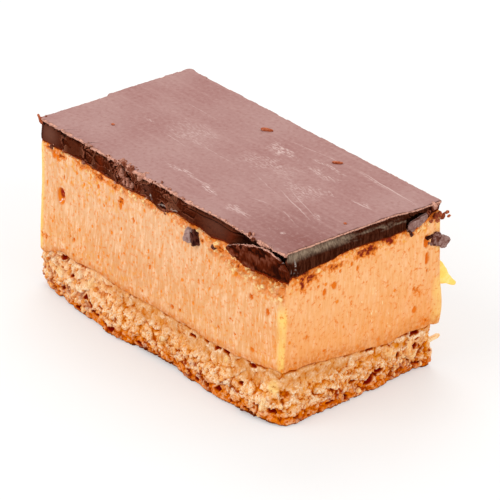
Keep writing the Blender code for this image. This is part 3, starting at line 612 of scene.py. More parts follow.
def torn_zone(grid, wall, z, high_line):
    """Where the caramel is torn: a ragged wedge under the flake and a thin band along the chocolate."""
    wedge_depth = 2.6 * MM + 3.0 * MM * ramp(14 * MM, 24 * MM, grid.x)
    wedge = grid.front * ramp(8 * MM, 17 * MM, grid.x) * ramp(
        high_line - 1.25 * wedge_depth, high_line - 0.7 * wedge_depth, z)
    band = (grid.front + grid.right) * ramp(high_line - 2.4 * MM, high_line - 0.7 * MM, z)
    hidden = 0.6 * (grid.back + grid.left) * ramp(high_line - 1.8 * MM, high_line - 0.6 * MM, z)
    torn = np.clip(wedge + band + hidden, 0, 1)
    return torn * ramp(-0.55, 0.15, soft_noise(wall, 2.2 * MM, 29) + 0.5 * wedge)


def caramel_surface(sizes):
    """The caramel's wall, foot and crown. Outward relief is fine upright knife lines (noise stretched
    upwards), soft bulges, a lip low at the back, a torn crumbly zone under the chocolate, specks and
    burst bubbles."""
    grid = bar_grid(sizes, 0.8 * MM, (0.22 * MM, 0.22 * MM, 0.32 * MM, 0.32 * MM), 92,
                    (0.4, 1.2, 4, 12), (0.3, 0.8, 2, 5, 12))
    half_x, half_y = sizes.length / 2, sizes.width / 2

    def height(x, y, share):
        low = caramel_line(x, y, sizes) + LAYER_GAP
        high = chocolate_line(x, y, sizes) - LAYER_GAP
        return low * (1.0 - share) + high * share

    z, wall = plain_wall(grid, sizes, height)
    low_line = caramel_line(grid.x, grid.y, sizes)
    high_line = chocolate_line(grid.x, grid.y, sizes)
    bent = warped(wall, 4 * MM, 0.8 * MM, 25)

    ridges = 0.06 * MM * soft_noise(bent, (2.2 * MM, 2.2 * MM, 12 * MM), 21)
    bulges = 0.30 * MM * soft_noise(wall, 12 * MM, 22)
    streak = soft_noise(bent, (0.9 * MM, 0.9 * MM, 4.0 * MM), 26)
    scratch = soft_noise(bent, (0.45 * MM, 0.45 * MM, 2.2 * MM), 27)
    drag = 0.03 * MM * streak + 0.03 * MM * scratch
    lip = (0.7 + 1.7 * hill(z - 13.5 * MM, 6.5 * MM)) * MM * grid.back * hill(grid.x - half_x, 9 * MM)

    torn = torn_zone(grid, wall, z, high_line)
    torn_bits = fragments(warped(wall, 0.7 * MM, 0.4 * MM, 128), (1.0 * MM, 1.0 * MM, 0.8 * MM), 28)
    taller = warped(wall, 0.6 * MM, 0.15 * MM, 127) * (1.0, 1.0, 0.8)
    nearest, _, value, _ = scattered_cells(taller, 1.3 * MM, 23)
    crowd = 0.16 * hill(grid.x + 26 * MM, 12 * MM) * grid.front * ramp(20 * MM, 30 * MM, z)
    crowd = crowd - 0.09 * grid.right
    chosen = ramp(0.84, 0.86, value + crowd + 0.07 * ramp(16 * MM, 11 * MM, z))
    specks = chosen * ramp(0.34, 0.14, nearest)
    front_depth, front_in = bubble_field(grid.x, z, FRONT_BUBBLES)
    right_depth, right_in = bubble_field(grid.y, z, RIGHT_BUBBLES)
    bubbles = grid.front * front_depth + grid.right * right_depth + 0.2 * MM * specks
    in_bubble = np.maximum(grid.front * front_in, grid.right * right_in)
    # Core of the large bubble, darkened in colour as painted shade deep inside it
    big_bubble_shade = grid.front * hill(np.hypot((grid.x / MM + 31.5) / 0.7, (z / MM - 23.0) / 1.2), 1.0)
    stain = face_spots(grid, z, FRONT_STAINS, RIGHT_STAINS)
    # A band just under the chocolate's lower edge is added to the dark smears as a painted shadow of that
    # edge
    shadow_fringe = 0.6 * hill(z - high_line, 0.6 * MM) + 0.55 * grid.right * hill(z - high_line, 1.3 * MM)
    stain = np.maximum(stain, shadow_fringe * (0.75 + 0.6 * soft_noise(wall, 1.3 * MM, 124)))

    under_flake = grid.front * ramp(17.5 * MM, 20.4 * MM, grid.x) * ramp(28.3 * MM, 30.3 * MM, z)
    outward = (ridges + bulges) * (1.0 - under_flake) + drag + lip + 0.35 * MM * grid.left
    outward = outward + torn * 0.45 * MM * (torn_bits.height - 0.3 * torn_bits.border) - bubbles
    outward = outward - 0.8 * MM * under_flake - 0.25 * MM * stain
    points = on_bar(grid, sizes, outward, height)

    # Thin: the left edge, the front right corner and the far edges, brightened in colour as painted glow of
    # light shining through thin caramel
    left_edge = grid.left * ramp(-half_y + 2.5 * MM, -half_y + 0.8 * MM, grid.y)
    left_edge = left_edge + grid.front * ramp(-half_x + 1.5 * MM, -half_x + 0.3 * MM, grid.x)
    corner = grid.front * ramp(half_x - 2.6 * MM, half_x - 0.7 * MM, grid.x) + grid.right * ramp(
        -half_y + 0.9 * MM, -half_y + 0.2 * MM, grid.y)
    uneven = 0.85 + 0.35 * soft_noise(wall, (2 * MM, 2 * MM, 4 * MM), 122)
    corner = corner * ramp(28 * MM, 23 * MM, z) * uneven
    far = grid.right * ramp(half_y - 1.4 * MM, half_y - 0.2 * MM, grid.y)
    far = far + grid.back * ramp(half_x - 4.0 * MM, half_x - 1.0 * MM, grid.x)
    far = far * (0.15 + 0.6 * soft_noise(wall, (1.5 * MM, 1.5 * MM, 2.5 * MM), 123))
    masks = {
        "streak": 0.5 * streak + 0.5 * scratch, "broad": soft_noise(wall, (5 * MM, 5 * MM, 9 * MM), 24),
        "speck": specks, "bubble": in_bubble, "thin": np.clip(left_edge + corner + far, 0.0, 1.0),
        "torn": torn, "torn_noise": torn_bits.height, "torn_seam": torn_bits.border, "stain": stain,
        "upper": grid.front * ramp(15 * MM, 26 * MM, z) * ramp(24 * MM, 2 * MM, grid.x),
        "foot": hill(z - low_line, (1.2 + 1.4 * grid.right) * MM), "right": grid.right, "core": big_bubble_shade,
        "glint": face_spots(grid, z, BUBBLE_GLINTS),
        "warm": ramp(27 * MM, 12 * MM, z) * np.clip(
            grid.front * ramp(24 * MM, 36 * MM, grid.x) + grid.right, 0, 1),
        "grey": grid.front * hill(grid.x + 10 * MM, 16 * MM) * hill(z - 15 * MM, 6 * MM),
        "fleck": grid.right * hill(grid.y - 4 * MM, 9 * MM) * hill(z - 18 * MM, 6 * MM),
        "pores": (grid.front * hill(grid.x + 22 * MM, 15 * MM) * ramp(21 * MM, 29 * MM, z)
                  + grid.right * ramp(high_line - 5 * MM, high_line - 1 * MM, z)
                  + 0.5 * grid.front * hill(z - 12.5 * MM, 3.5 * MM)),
    }
    return points, masks


# Chocolate

ROUGH_STRETCHES = rows(Hump,
    (-30.9, 1.3, 0.8), (-23.0, 2.4, 0.9), (-17.5, 2.5, 0.55), (-10.6, 2.9, 1.3), (-4.5, 2.5, 0.7),
    (2.5, 3.2, 0.9), (8.5, 2.5, 0.5), (26.0, 5.0, 0.7), (34.0, 4.0, 0.9))
EDGE_CURLS = rows(Hump,
    (-37.5, 1.0, 0.4), (-31.0, 1.0, 0.5), (-22.8, 2.0, 1.0), (-16.5, 1.5, 0.4), (-10.5, 2.3, 1.3),
    (-6.0, 1.5, 0.6), (0.0, 2.0, 0.5), (7.0, 3.0, 0.25), (19.0, 3.0, 0.3), (28.0, 5.0, 0.3))
# Smooth patches of the front: smoother relief, and a paler, greyer colour that is a painted sheen
SMOOTH_SHEEN_PATCHES = rows(Spot,
    (-35.6, 35.0, 3.0, 2.6, 1.0), (16.5, 34.8, 4.5, 2.2, 0.6), (-4.2, 35.0, 1.6, 1.8, 0.5))
RED_PATCHES = rows(Spot,
    (-18.7, 34.9, 1.0, 2.6, 1.0), (-8.0, 33.6, 2.5, 1.0, 0.6), (22.0, 34.5, 2.5, 1.5, 0.7))
GLINTS = rows(Spot,
    (-3.0, 34.1, 0.45, 0.35, 1.0), (-2.5, 33.6, 0.45, 0.35, 0.9), (1.0, 33.2, 1.6, 0.35, 0.8),
    (4.6, 33.7, 1.3, 0.4, 0.8), (-20.5, 34.2, 0.5, 0.2, 0.5), (-18.9, 36.2, 0.2, 0.2, 0.9))
CORNER_GLINTS = rows(Spot,
    (-18.1, 34.6, 0.28, 1.9, 0.9), (-17.4, 32.9, 0.25, 0.8, 0.7), (-19.1, 33.4, 0.2, 1.6, 0.6))
# A dent at the near corner of the right face, painted near black as shade inside it
CORNER_HOLES = rows(Spot, (-18.5, 33.0, 0.55, 0.6, 1.2))


def chocolate_surface(sizes):
    """The chocolate's wall, foot and top. Outward relief on the front is a snapped face: two sizes of
    broken fragments whose height varies along the bar, smooth patches, rubble holes, and a jagged lip
    left along the top edge with a groove below it. On the right it is a smooth shoulder over the top
    edge, with a break at its end."""
    grid = bar_grid(sizes, 0.5 * MM, (0.13 * MM, 0.13 * MM, 0.21 * MM, 0.21 * MM), 44, (0.3, 0.8, 2, 6, 14),
                    (0.12, 0.25, 0.4, 0.6, 0.9, 1.3, 1.9, 2.7, 4, 6, 8.5, 11, 14, 17))
    thickness = sizes.chocolate_thickness

    def height(x, y, share):
        return (chocolate_line(x, y, sizes) + LAYER_GAP) * (1.0 - share) + sizes.height * share

    z, wall = plain_wall(grid, sizes, height)
    down = sizes.height - z
    bent = warped(wall, 1.2 * MM, 0.35 * MM, 35)

    rough = grid.front * humps(grid.x, ROUGH_STRETCHES) / MM + grid.back * 0.4 + grid.left * 0.3
    smooth = face_spots(grid, z, SMOOTH_SHEEN_PATCHES)
    rough = np.clip(rough, 0.22 * (grid.front + grid.back), 1.2) * (1.0 - 0.75 * smooth)
    shells = fragments(bent, (2.6 * MM, 2.6 * MM, 1.5 * MM), 31)
    splinters = fragments(warped(bent, 0.5 * MM, 0.2 * MM, 36), (0.85 * MM, 0.85 * MM, 0.55 * MM), 32)
    edge_bits = fragments(bent * (1.0, 1.0, 0.3), (0.95 * MM, 0.95 * MM, 0.95 * MM), 38)
    rubble = grid.front * hill(grid.x + 11.0 * MM, 3.0 * MM) * ramp(4.6 * MM, 3.4 * MM, down)
    nick = grid.front * hill(grid.x + 30.9 * MM, 0.9 * MM) * hill(down - 0.9 * MM, 0.8 * MM)
    loops = grid.front * hill(grid.x + 23.0 * MM, 2.4 * MM) * ramp(1.8 * MM, 0.8 * MM, down)
    gouge = np.clip((rubble + 0.7 * nick + 0.6 * loops) * ramp(-0.1, -0.7, splinters.height), 0, 1)
    scoop = 0.7 * MM * grid.front * hill(grid.x - 16 * MM, 8 * MM)
    scoop = scoop * hill(down - thickness / 2, thickness / 2)
    broad = 0.25 * MM * soft_noise(wall, (6 * MM, 6 * MM, 3 * MM), 37) * grid.front
    lip_side = grid.front + 0.15 * grid.back + 0.4 * grid.left
    lip = ramp(0.75 * MM, 0.30 * MM, down) * lip_side * (0.22 + 0.30 * edge_bits.height) * MM
    groove = hill(down - 0.95 * MM, 0.38 * MM) * grid.front * ramp(-0.5, 0.3, edge_bits.height) * 0.36 * MM
    crack = 0.35 * MM * grid.front * hill(down - 1.5 * MM - 0.02 * (grid.x + 4 * MM), 0.16 * MM) * ramp(
        6 * MM, 12 * MM, grid.x)
    shoulder_reach = 2.6 * MM - 1.2 * MM * ramp(-12 * MM, 10 * MM, grid.y)
    shoulder = grid.right * 0.95 * MM * (1.0 - ramp(0.0, 1.0, down / shoulder_reach))
    shoulder = shoulder * ramp(13 * MM, 8 * MM, grid.y)
    recess = grid.front * ramp(21 * MM, 24 * MM, grid.x) * ramp(0.7 * MM, 1.1 * MM, down) * ramp(
        sizes.length / 2 - 0.3 * MM, sizes.length / 2 - 1.6 * MM, grid.x)
    foot_round = 0.30 * MM * ramp(0.5 * MM, 0.0, z - chocolate_line(grid.x, grid.y, sizes))
    right_fine = grid.right * (0.07 * splinters.height + 0.08 * shells.height) * MM
    step = 0.8 * MM * ramp(-2.7 * MM, -1.7 * MM, grid.y) * grid.left
    broken = grid.right * ramp(10.4 * MM, 11.1 * MM, grid.y)
    broken = broken * ramp(1.0 * MM, 1.5 * MM, down + 0.4 * MM * edge_bits.height)
    torn_end = grid.right * ramp(16.2 * MM, 16.9 * MM, grid.y) * ramp(0.3 * MM, 0.8 * MM, down)

    relief = 1.5 * shells.height + 0.4 * splinters.height - 0.15 * splinters.border
    outward = sizes.snap_relief * rough * relief
    outward = outward + broad - scoop - foot_round + lip - groove - crack
    outward = outward - 1.3 * MM * gouge - 0.4 * MM * nick
    outward = outward - shoulder + right_fine + step + 0.35 * MM * grid.right + 0.45 * MM * grid.left
    corner_hole = face_spots(grid, z, (), CORNER_HOLES)
    outward = outward - 1.5 * MM * recess - 0.5 * MM * corner_hole
    outward = outward - 2.4 * MM * broken * (1.0 - torn_end)
    outward = outward - torn_end * (0.9 + 0.7 * splinters.height) * MM
    points = on_bar(grid, sizes, outward, height)
    crown = grid.share > 0.999
    edge = crown * np.clip(1.0 - grid.inset / (0.9 * MM), 0, 1)
    points[..., 2] -= edge * (0.10 + 0.14 * edge_bits.height) * MM * (grid.front + 0.15 * grid.back)

    local = mean_of_neighbours(outward, 2)
    rim_depth = (0.75 - 0.4 * grid.right) * MM
    ragged = 0.35 * MM * edge_bits.height * (1.0 - 0.85 * grid.right)
    rim = ramp(rim_depth, 0.1 * MM, down + ragged) * np.clip(1.0 - grid.inset / rim_depth, 0, 1)
    toward_back = ramp(-11 * MM, 3 * MM, grid.y)
    shine_at = 0.85 * MM + 0.45 * MM * toward_back
    shine_half = 0.85 * MM - 0.35 * MM * toward_back
    shine = grid.right * hill(down - shine_at, shine_half) * ramp(10.8 * MM, 10.2 * MM, grid.y)
    shine_noise = layered_noise(wall, (1.2 * MM, 2.2 * MM, 0.5 * MM), 39)
    streaked = (0.45 + 0.8 * toward_back) * shine_noise
    shine = shine * (0.8 - 0.5 * toward_back + streaked + 0.25 * splinters.height)
    # The dark mask over gouges, the nick, the break, the recess behind the flake and the dent at the near
    # corner paints shade there; crisp lightens parts that stand out as painted highlight and darkens sunk
    # parts as painted shade; facet picks the flat faces painted lighter as painted reflections
    masks = {
        "top": crown * ramp(0.1 * MM, 0.6 * MM, grid.inset + 0.2 * MM * edge_bits.height + 0.4 * MM * (
            grid.back + grid.left)),
        "rim": rim * (0.8 + 0.2 * grid.front), "crisp": np.clip((outward - local) / (0.08 * MM), -1.0, 1.0),
        "rough": np.clip(rough + rubble + torn_end, 0, 1),
        "facet": shells.value * (grid.front + grid.right),
        "hole": np.clip(gouge + 0.8 * nick + broken * (1 - torn_end) + 0.8 * recess + corner_hole, 0, 1),
        "shine": np.clip(shine, 0, 1), "right": grid.right * (1.0 - torn_end), "smooth": smooth,
        "seam": splinters.border, "red": face_spots(grid, z, RED_PATCHES) + torn_end,
        "glint": face_spots(grid, z, GLINTS, CORNER_GLINTS) * ramp(-0.2, 0.4, splinters.height + 0.3),
        "foot": (grid.front + grid.back + 0.7 * grid.right) * hill(
            z - chocolate_line(grid.x, grid.y, sizes), 0.45 * MM),
    }
    return points, masks


# Places along the bar and heights, in millimetres
FLAKE_CREST = ((20.8, 32.5), (22.3, 33.6), (24.5, 34.8), (27.2, 35.8), (29.6, 36.5), (32.1, 36.9),
               (34.4, 36.9), (36.4, 36.3), (37.6, 35.5), (38.5, 34.6))
FLAKE_FOOT = ((20.8, 32.2), (24.5, 31.4), (28.2, 30.9), (31.5, 31.1), (35.1, 31.3), (38.5, 31.5))


def curve_through(knots, along):
    """Smooth curve through the knots: a cubic between each two, with the slope at each taken from its
    neighbours."""
    places, heights = np.array(knots).T
    slopes = np.gradient(heights, places)
    at = np.clip(np.searchsorted(places, along) - 1, 0, len(places) - 2)
    width = places[at + 1] - places[at]
    t = (along - places[at]) / width
    start = heights[at] * (2 * t ** 3 - 3 * t ** 2 + 1) + slopes[at] * width * (t ** 3 - 2 * t ** 2 + t)
    return start + heights[at + 1] * (3 * t ** 2 - 2 * t ** 3) + slopes[at + 1] * width * (t ** 3 - t ** 2)


def flake_surface():
    """The flake that hangs beside the front corner: across it, each section is a flattened ring (cosine
    through the thickness, sine up the height); along it, crest and foot follow their own curves; broken
    fragments roughen it."""
    along, around = np.meshgrid(np.linspace(0.0, 1.0, 150), np.arange(72) / 72 * 2 * np.pi, indexing="ij")
    x = FLAKE_START + FLAKE_LENGTH * along
    crest, foot = curve_through(FLAKE_CREST, x), curve_through(FLAKE_FOOT, x)
    up = np.sign(np.sin(around)) * np.abs(np.sin(around)) ** 0.5
    through = np.sign(np.cos(around)) * np.abs(np.cos(around)) ** 0.7
    thick = FLAKE_THICKNESS * (0.30 + 0.70 * np.sin(np.pi * along ** 0.8) ** 0.5)
    z = (crest + foot) / 2 + (crest - foot) / 2 * up
    lean = 0.25 * np.clip(up, 0, 1) ** 2 - 0.5 * ramp(0.8, 1.0, along)
    y = FLAKE_BACK - thick / 2 + thick / 2 * through - lean
    points = np.stack([x, y, z], axis=-1) * MM
    bent = warped(points, 1.0 * MM, 0.3 * MM, 137)
    shells = fragments(bent, (3.0 * MM, 3.0 * MM, 1.3 * MM), 34)
    splinters = fragments(bent, (0.8 * MM, 0.8 * MM, 0.5 * MM), 134)
    broken = 0.20 * shells.height + 0.10 * splinters.height - 0.05 * splinters.border
    points[..., 1] -= broken * MM
    points[..., 2] += 0.22 * MM * splinters.height * up
    rim = ramp(0.93, 0.99, up) * ramp(0.03, 0.12, along) * ramp(0.95, 0.80, along)
    nothing = 0 * x
    masks = {name: nothing for name in ("top", "hole", "shine", "right", "smooth", "facet")}
    # Crisp lightens the flake's bits that stand out as painted highlight and darkens its sunk bits as
    # painted shade
    masks.update({
        "rim": rim, "crisp": np.clip(broken / 0.15, -1, 1), "rough": nothing + 0.5,
        "seam": splinters.border, "red": 0.4 + 0.6 * ramp(0.4, 0.0, along),
        "glint": ramp(0.72, 0.9, up) * ramp(0.45, 0.75, splinters.height) * 0.7,
        "foot": ramp(-0.7, -0.95, up)})
    return points, masks


Lump = namedtuple("Lump", "place size turn squareness relief tone seed")


def lump_surface(lump, rings, columns):
    """A broken lump: a sphere of rings and columns, squared off by a power of its sine and cosine,
    chipped by broken fragments and layered noise, squashed to size, turned and put in place. Both poles
    are small closed rings."""
    tilt, around = np.meshgrid(
        np.linspace(-0.49, 0.49, rings) * np.pi, np.arange(columns) / columns * 2 * np.pi, indexing="ij")

    def squared(wave):
        return np.sign(wave) * np.abs(wave) ** lump.squareness

    ball = np.stack([squared(np.cos(tilt)) * squared(np.cos(around)),
                     squared(np.cos(tilt)) * squared(np.sin(around)), squared(np.sin(tilt))], axis=-1)
    grains = layered_noise(ball, 0.5, lump.seed + 9)
    chipped = 0.6 * fragments(ball, 0.75, lump.seed).height + 0.4 * grains
    ball = ball * (1.0 + lump.relief * chipped[..., None]) * np.array(lump.size) / 2
    turn = np.eye(3)
    for axis, angle in enumerate(lump.turn):
        a, b = (axis + 1) % 3, (axis + 2) % 3
        step = np.eye(3)
        step[a, a] = step[b, b] = math.cos(angle)
        step[a, b] = -math.sin(angle)
        step[b, a] = math.sin(angle)
        turn = step @ turn
    return (ball @ turn.T + np.array(lump.place)) * MM, np.clip(chipped, -1, 1) * 0.6 + lump.tone


# Front chip in three parts and a bit beside it, then the corner chip in three parts, a shard and a spike
CHIPS = rows(Lump,
    ((9.7, -20.5, 30.5), (1.9, 1.3, 3.3), (0.1, 0.3, 0.35), 0.55, 0.22, 0.65, 301),
    ((11.3, -20.3, 30.6), (2.2, 1.6, 3.3), (0.0, -0.3, -0.35), 0.55, 0.30, -0.55, 302),
    ((12.2, -20.1, 29.7), (1.0, 0.8, 1.0), (0.0, -0.3, -0.5), 0.7, 0.30, -0.2, 312),
    ((16.7, -20.0, 30.6), (1.2, 0.7, 0.8), (0.0, 0.5, 0.2), 0.7, 0.35, -0.3, 313),
    ((37.9, 18.9, 29.4), (1.5, 2.5, 2.9), (-0.45, 0.1, -0.2), 0.45, 0.28, 0.05, 303),
    ((38.6, 20.6, 28.6), (1.3, 2.2, 2.4), (-0.45, 0.2, -0.35), 0.4, 0.24, 0.35, 314),
    ((37.8, 17.4, 30.2), (0.9, 1.6, 0.8), (0.5, 0.1, -0.1), 0.6, 0.3, -0.7, 315),
    ((37.7, 14.1, 34.1), (0.7, 5.6, 2.6), (0.05, 0.1, 0.12), 0.45, 0.16, 0.30, 304),
    ((38.1, 12.0, 32.7), (0.6, 0.7, 1.8), (0.6, 0.0, 0.0), 0.8, 0.35, -0.5, 305))
# Torn bits at the far end of the chocolate, and the small spur at its left corner in two parts
BROWN_BITS = rows(Lump,
    ((38.2, 18.5, 34.6), (0.9, 1.3, 1.0), (0.2, 0.4, 0.0), 0.8, 0.45, -0.4, 306),
    ((38.2, 20.5, 33.9), (0.8, 1.4, 0.7), (0.5, 0.2, 0.6), 0.8, 0.45, -0.3, 307),
    ((38.2, 19.6, 34.7), (0.7, 0.8, 1.3), (0.5, 0.0, 0.0), 0.8, 0.45, -0.3, 308),
    ((38.0, 21.7, 34.4), (0.6, 1.0, 0.8), (0.1, 0.7, 0.0), 0.8, 0.45, -0.1, 309),
    ((38.1, 19.2, 33.4), (0.8, 0.9, 0.6), (0.4, 0.2, 0.0), 0.8, 0.45, -0.1, 318),
    ((38.0, 22.3, 33.4), (0.5, 0.8, 0.5), (0.3, 0.5, 0.0), 0.8, 0.45, 0.1, 319),
    ((38.2, 17.4, 33.8), (0.6, 1.0, 0.5), (0.3, 0.1, 0.4), 0.8, 0.45, 0.0, 320),
    ((-38.2, -20.0, 36.9), (0.9, 0.8, 1.5), (0.0, -0.5, 0.3), 0.8, 0.4, -0.2, 310),
    ((-38.9, -20.1, 37.7), (0.5, 0.5, 1.0), (0.0, -0.7, 0.3), 0.8, 0.4, 0.2, 311))
# Large crumbs at the far end of the base, and two stick-shaped ones
END_CRUMBS = rows(Lump,
    ((37.2, 7.8, 7.4), (2.4, 2.6, 2.8), (0.3, 0.2, 0.0), 0.6, 0.40, 0.1, 331),
    ((37.2, 9.4, 6.5), (2.0, 2.0, 2.2), (0.0, 0.5, 0.3), 0.6, 0.40, 0.2, 336),
    ((37.1, 13.6, 6.6), (2.2, 1.8, 3.4), (0.2, 0.0, 0.2), 0.6, 0.42, 0.1, 332),
    ((37.0, 15.0, 4.6), (2.0, 2.0, 2.0), (0.6, 0.2, 0.2), 0.6, 0.42, 0.2, 337),
    ((36.0, 18.2, 2.9), (2.4, 2.4, 2.4), (0.0, 0.4, 0.0), 0.6, 0.42, -0.1, 333),
    ((36.8, 18.4, 7.6), (1.8, 2.0, 2.4), (0.0, 0.4, 0.4), 0.6, 0.42, 0.1, 335),
    ((36.9, 21.3, 6.0), (0.8, 3.6, 0.9), (0.0, 0.1, 0.1), 0.5, 0.20, 0.6, 334),
    ((34.2, -21.2, 4.1), (1.0, 0.9, 3.2), (0.0, 0.25, 0.1), 0.55, 0.30, 0.5, 339))
# Two curls and two small bits on the top
CURLS = rows(Lump,
    ((-6.3, 13.1, 37.75), (2.6, 0.7, 0.7), (0.0, 0.1, 0.75), 0.8, 0.3, 0.0, 341),
    ((13.6, 14.5, 37.7), (2.2, 0.6, 0.6), (0.0, 0.0, 0.75), 0.8, 0.3, 0.0, 342),
    ((34.4, -2.1, 37.6), (0.7, 0.6, 0.35), (0.0, 0.0, -0.2), 0.8, 0.3, 0.2, 343),
    ((-27.0, -10.3, 37.6), (0.7, 0.6, 0.4), (0.0, 0.0, 0.0), 0.8, 0.3, 0.1, 344))


def drawn_lumps(points, weight, count, sizes, flatness, squareness, seed):
    """Lumps lying on a surface: a seeded draw picks points of it by weight, and sizes, stretches and
    turns each. Most are near the smaller of the two sizes."""
    draw = np.random.default_rng(seed)
    place = points.reshape(-1, 3) / MM
    weight = weight.ravel()
    chosen = draw.choice(len(place), count, replace=False, p=weight / weight.sum())
    size = sizes[0] + (sizes[1] - sizes[0]) * draw.random(count) ** 3
    stretch = draw.uniform(0.7, 1.4, (count, 3)) * (1.0, 1.0, flatness)
    turns = draw.uniform(0, np.pi, (count, 3))
    tones = draw.uniform(-0.5, 0.5, count)
    drawn = zip(chosen, size, stretch, turns, tones)
    return [Lump(place[at], width * shape, turn, squareness, SMALL_LUMP_RELIEF, tone,
                 seed * 100 + number % SMALL_LUMP_FORMS)
            for number, (at, width, shape, turn, tone) in enumerate(drawn)]


def joined_lumps(lumps, rings, columns):
    """All lumps as one mesh, each a closed belt of its own, with the chipping and tone of each point as
    its tint."""
    vertices, faces, tints = [], [], []
    for index, lump in enumerate(lumps):
        points, rough = lump_surface(lump, rings, columns)
        start = index * rings * columns
        faces += [[start + corner for corner in face] for face in belt_faces(rings, columns)]
        vertices.append(points.reshape(-1, 3))
        tints.append(rough.ravel())
    return np.concatenate(vertices), faces, np.concatenate(tints)


# Points from root to tip and the half height at each, in millimetres
TONGUE_PATH = ((35.9, 20.4, 21.3, 2.6), (36.8, 21.3, 20.9, 2.4), (37.3, 22.2, 20.1, 1.9),
               (37.5, 23.1, 19.2, 1.2), (37.6, 24.1, 18.4, 0.85), (37.7, 25.0, 17.7, 0.6),
               (37.7, 25.7, 17.3, 0.35))


def tongue_surface():
    """The tongue of caramel dragged out at the far corner: an ellipse carried along a curve through the
    path's points, its half height falling from root to tip and its thickness half of that, with soft
    noise on it."""
    along, around = np.meshgrid(np.linspace(0, 1, 60), np.arange(28) / 28 * 2 * np.pi, indexing="ij")
    shares = np.linspace(0, 1, len(TONGUE_PATH))
    columns = np.array(TONGUE_PATH).T
    x, y, z, half = (curve_through(np.stack([shares, column], axis=-1), along) for column in columns)
    points = np.stack([x + 0.45 * half * np.cos(around), y + 0.35 * half * np.sin(around),
                       z + 0.9 * half * np.sin(around)], axis=-1) * MM
    wobble = layered_noise(points, 1.3 * MM, 151)
    points[..., 2] += 0.25 * MM * wobble
    points[..., 0] += 0.2 * MM * wobble
    return points, wobble


# Materials

def set_inputs(tree, node, inputs):
    """Each input set to a value or joined to another node's output."""
    for key, value in dict(inputs).items():
        if isinstance(value, bpy.types.NodeSocket):
            tree.links.new(value, node.inputs[key])
        else:
            node.inputs[key].default_value = value


def add_node(tree, kind, inputs=(), **settings):
    """A node with its settings and its inputs."""
    node = tree.nodes.new(kind)
    for name, value in settings.items():
        setattr(node, name, value)
    set_inputs(tree, node, inputs)
    return node


def spread(tree, value, low, high, to_low=0.0, to_high=1.0):
    """The value from low to high carried to 0 to 1, clipped."""
    inputs = {"Value": value, "From Min": low, "From Max": high, "To Min": to_low, "To Max": to_high}
    return add_node(tree, "ShaderNodeMapRange", inputs).outputs["Result"]


def sum_of(tree, a, b, operation="ADD"):
    return add_node(tree, "ShaderNodeMath", {0: a, 1: b}, operation=operation).outputs[0]


def times(tree, a, b):
    return sum_of(tree, a, b, "MULTIPLY")


def masked(tree, name, *limits):
    """A float mask of the mesh by its name. With limits it is carried as in spread."""
    value = add_node(tree, "ShaderNodeAttribute", attribute_name=name).outputs["Fac"]
    return spread(tree, value, *limits) if limits else value


def blend(tree, share, first, second, label=""):
    """First colour where the share is 0, second where it is 1."""
    def rgba(colour):
        return colour if isinstance(colour, bpy.types.NodeSocket) else (*colour, 1.0)
    inputs = {0: share, 6: rgba(first), 7: rgba(second)}
    return add_node(tree, "ShaderNodeMix", inputs, data_type="RGBA", label=label).outputs[2]


def painted(tree, colour, layers):
    """The colour with each layer laid over it in turn. A layer is its name, its share and its own
    colour. A share in brackets is a mask's name with its limits."""
    for label, share, layer_colour in layers:
        if isinstance(share, tuple):
            share = masked(tree, *share)
        colour = blend(tree, share, colour, layer_colour, label)
    return colour


def noise_of(tree, scale, detail):
    """Noise on object coordinates. The scale is in features a metre, one number or one for each
    direction."""
    place = add_node(tree, "ShaderNodeTexCoord").outputs["Object"]
    if isinstance(scale, tuple):
        place = add_node(tree, "ShaderNodeMapping", {"Vector": place, "Scale": scale}).outputs[0]
        scale = 1.0
    inputs = {"Vector": place, "Scale": scale, "Detail": detail}
    return add_node(tree, "ShaderNodeTexNoise", inputs).outputs["Fac"]


def grain_group():
    """Fine grain shared by all the bar's materials: one noise on object coordinates, its scale and
    cover given as inputs, as a value and a mask."""
    name = "fine_grain"
    if name in bpy.data.node_groups:
        return bpy.data.node_groups[name]
    tree = bpy.data.node_groups.new(name, "ShaderNodeTree")
    scale = tree.interface.new_socket("Scale", in_out="INPUT", socket_type="NodeSocketFloat")
    scale.default_value = 1500.0
    cover = tree.interface.new_socket("Cover", in_out="INPUT", socket_type="NodeSocketFloat")
    cover.default_value = 0.5
    tree.interface.new_socket("Value", in_out="OUTPUT", socket_type="NodeSocketFloat")
    tree.interface.new_socket("Mask", in_out="OUTPUT", socket_type="NodeSocketFloat")
    given = add_node(tree, "NodeGroupInput")
    place = add_node(tree, "ShaderNodeTexCoord").outputs["Object"]
    noise = add_node(tree, "ShaderNodeTexNoise", {
        "Vector": place, "Scale": given.outputs["Scale"], "Detail": 4.0, "Roughness": 0.6})
    start = sum_of(tree, given.outputs["Cover"], 0.06, "SUBTRACT")
    end = sum_of(tree, given.outputs["Cover"], 0.06)
    mask = spread(tree, noise.outputs["Fac"], start, end)
    inputs = {"Value": noise.outputs["Fac"], "Mask": mask}
    add_node(tree, "NodeGroupOutput", inputs)
    return tree


def placed_grain(tree, scale, cover=0.5):
    """One use of the fine grain group with its own scale and cover."""
    node = add_node(tree, "ShaderNodeGroup", node_tree=grain_group())
    set_inputs(tree, node, {"Scale": scale, "Cover": cover})
    return node


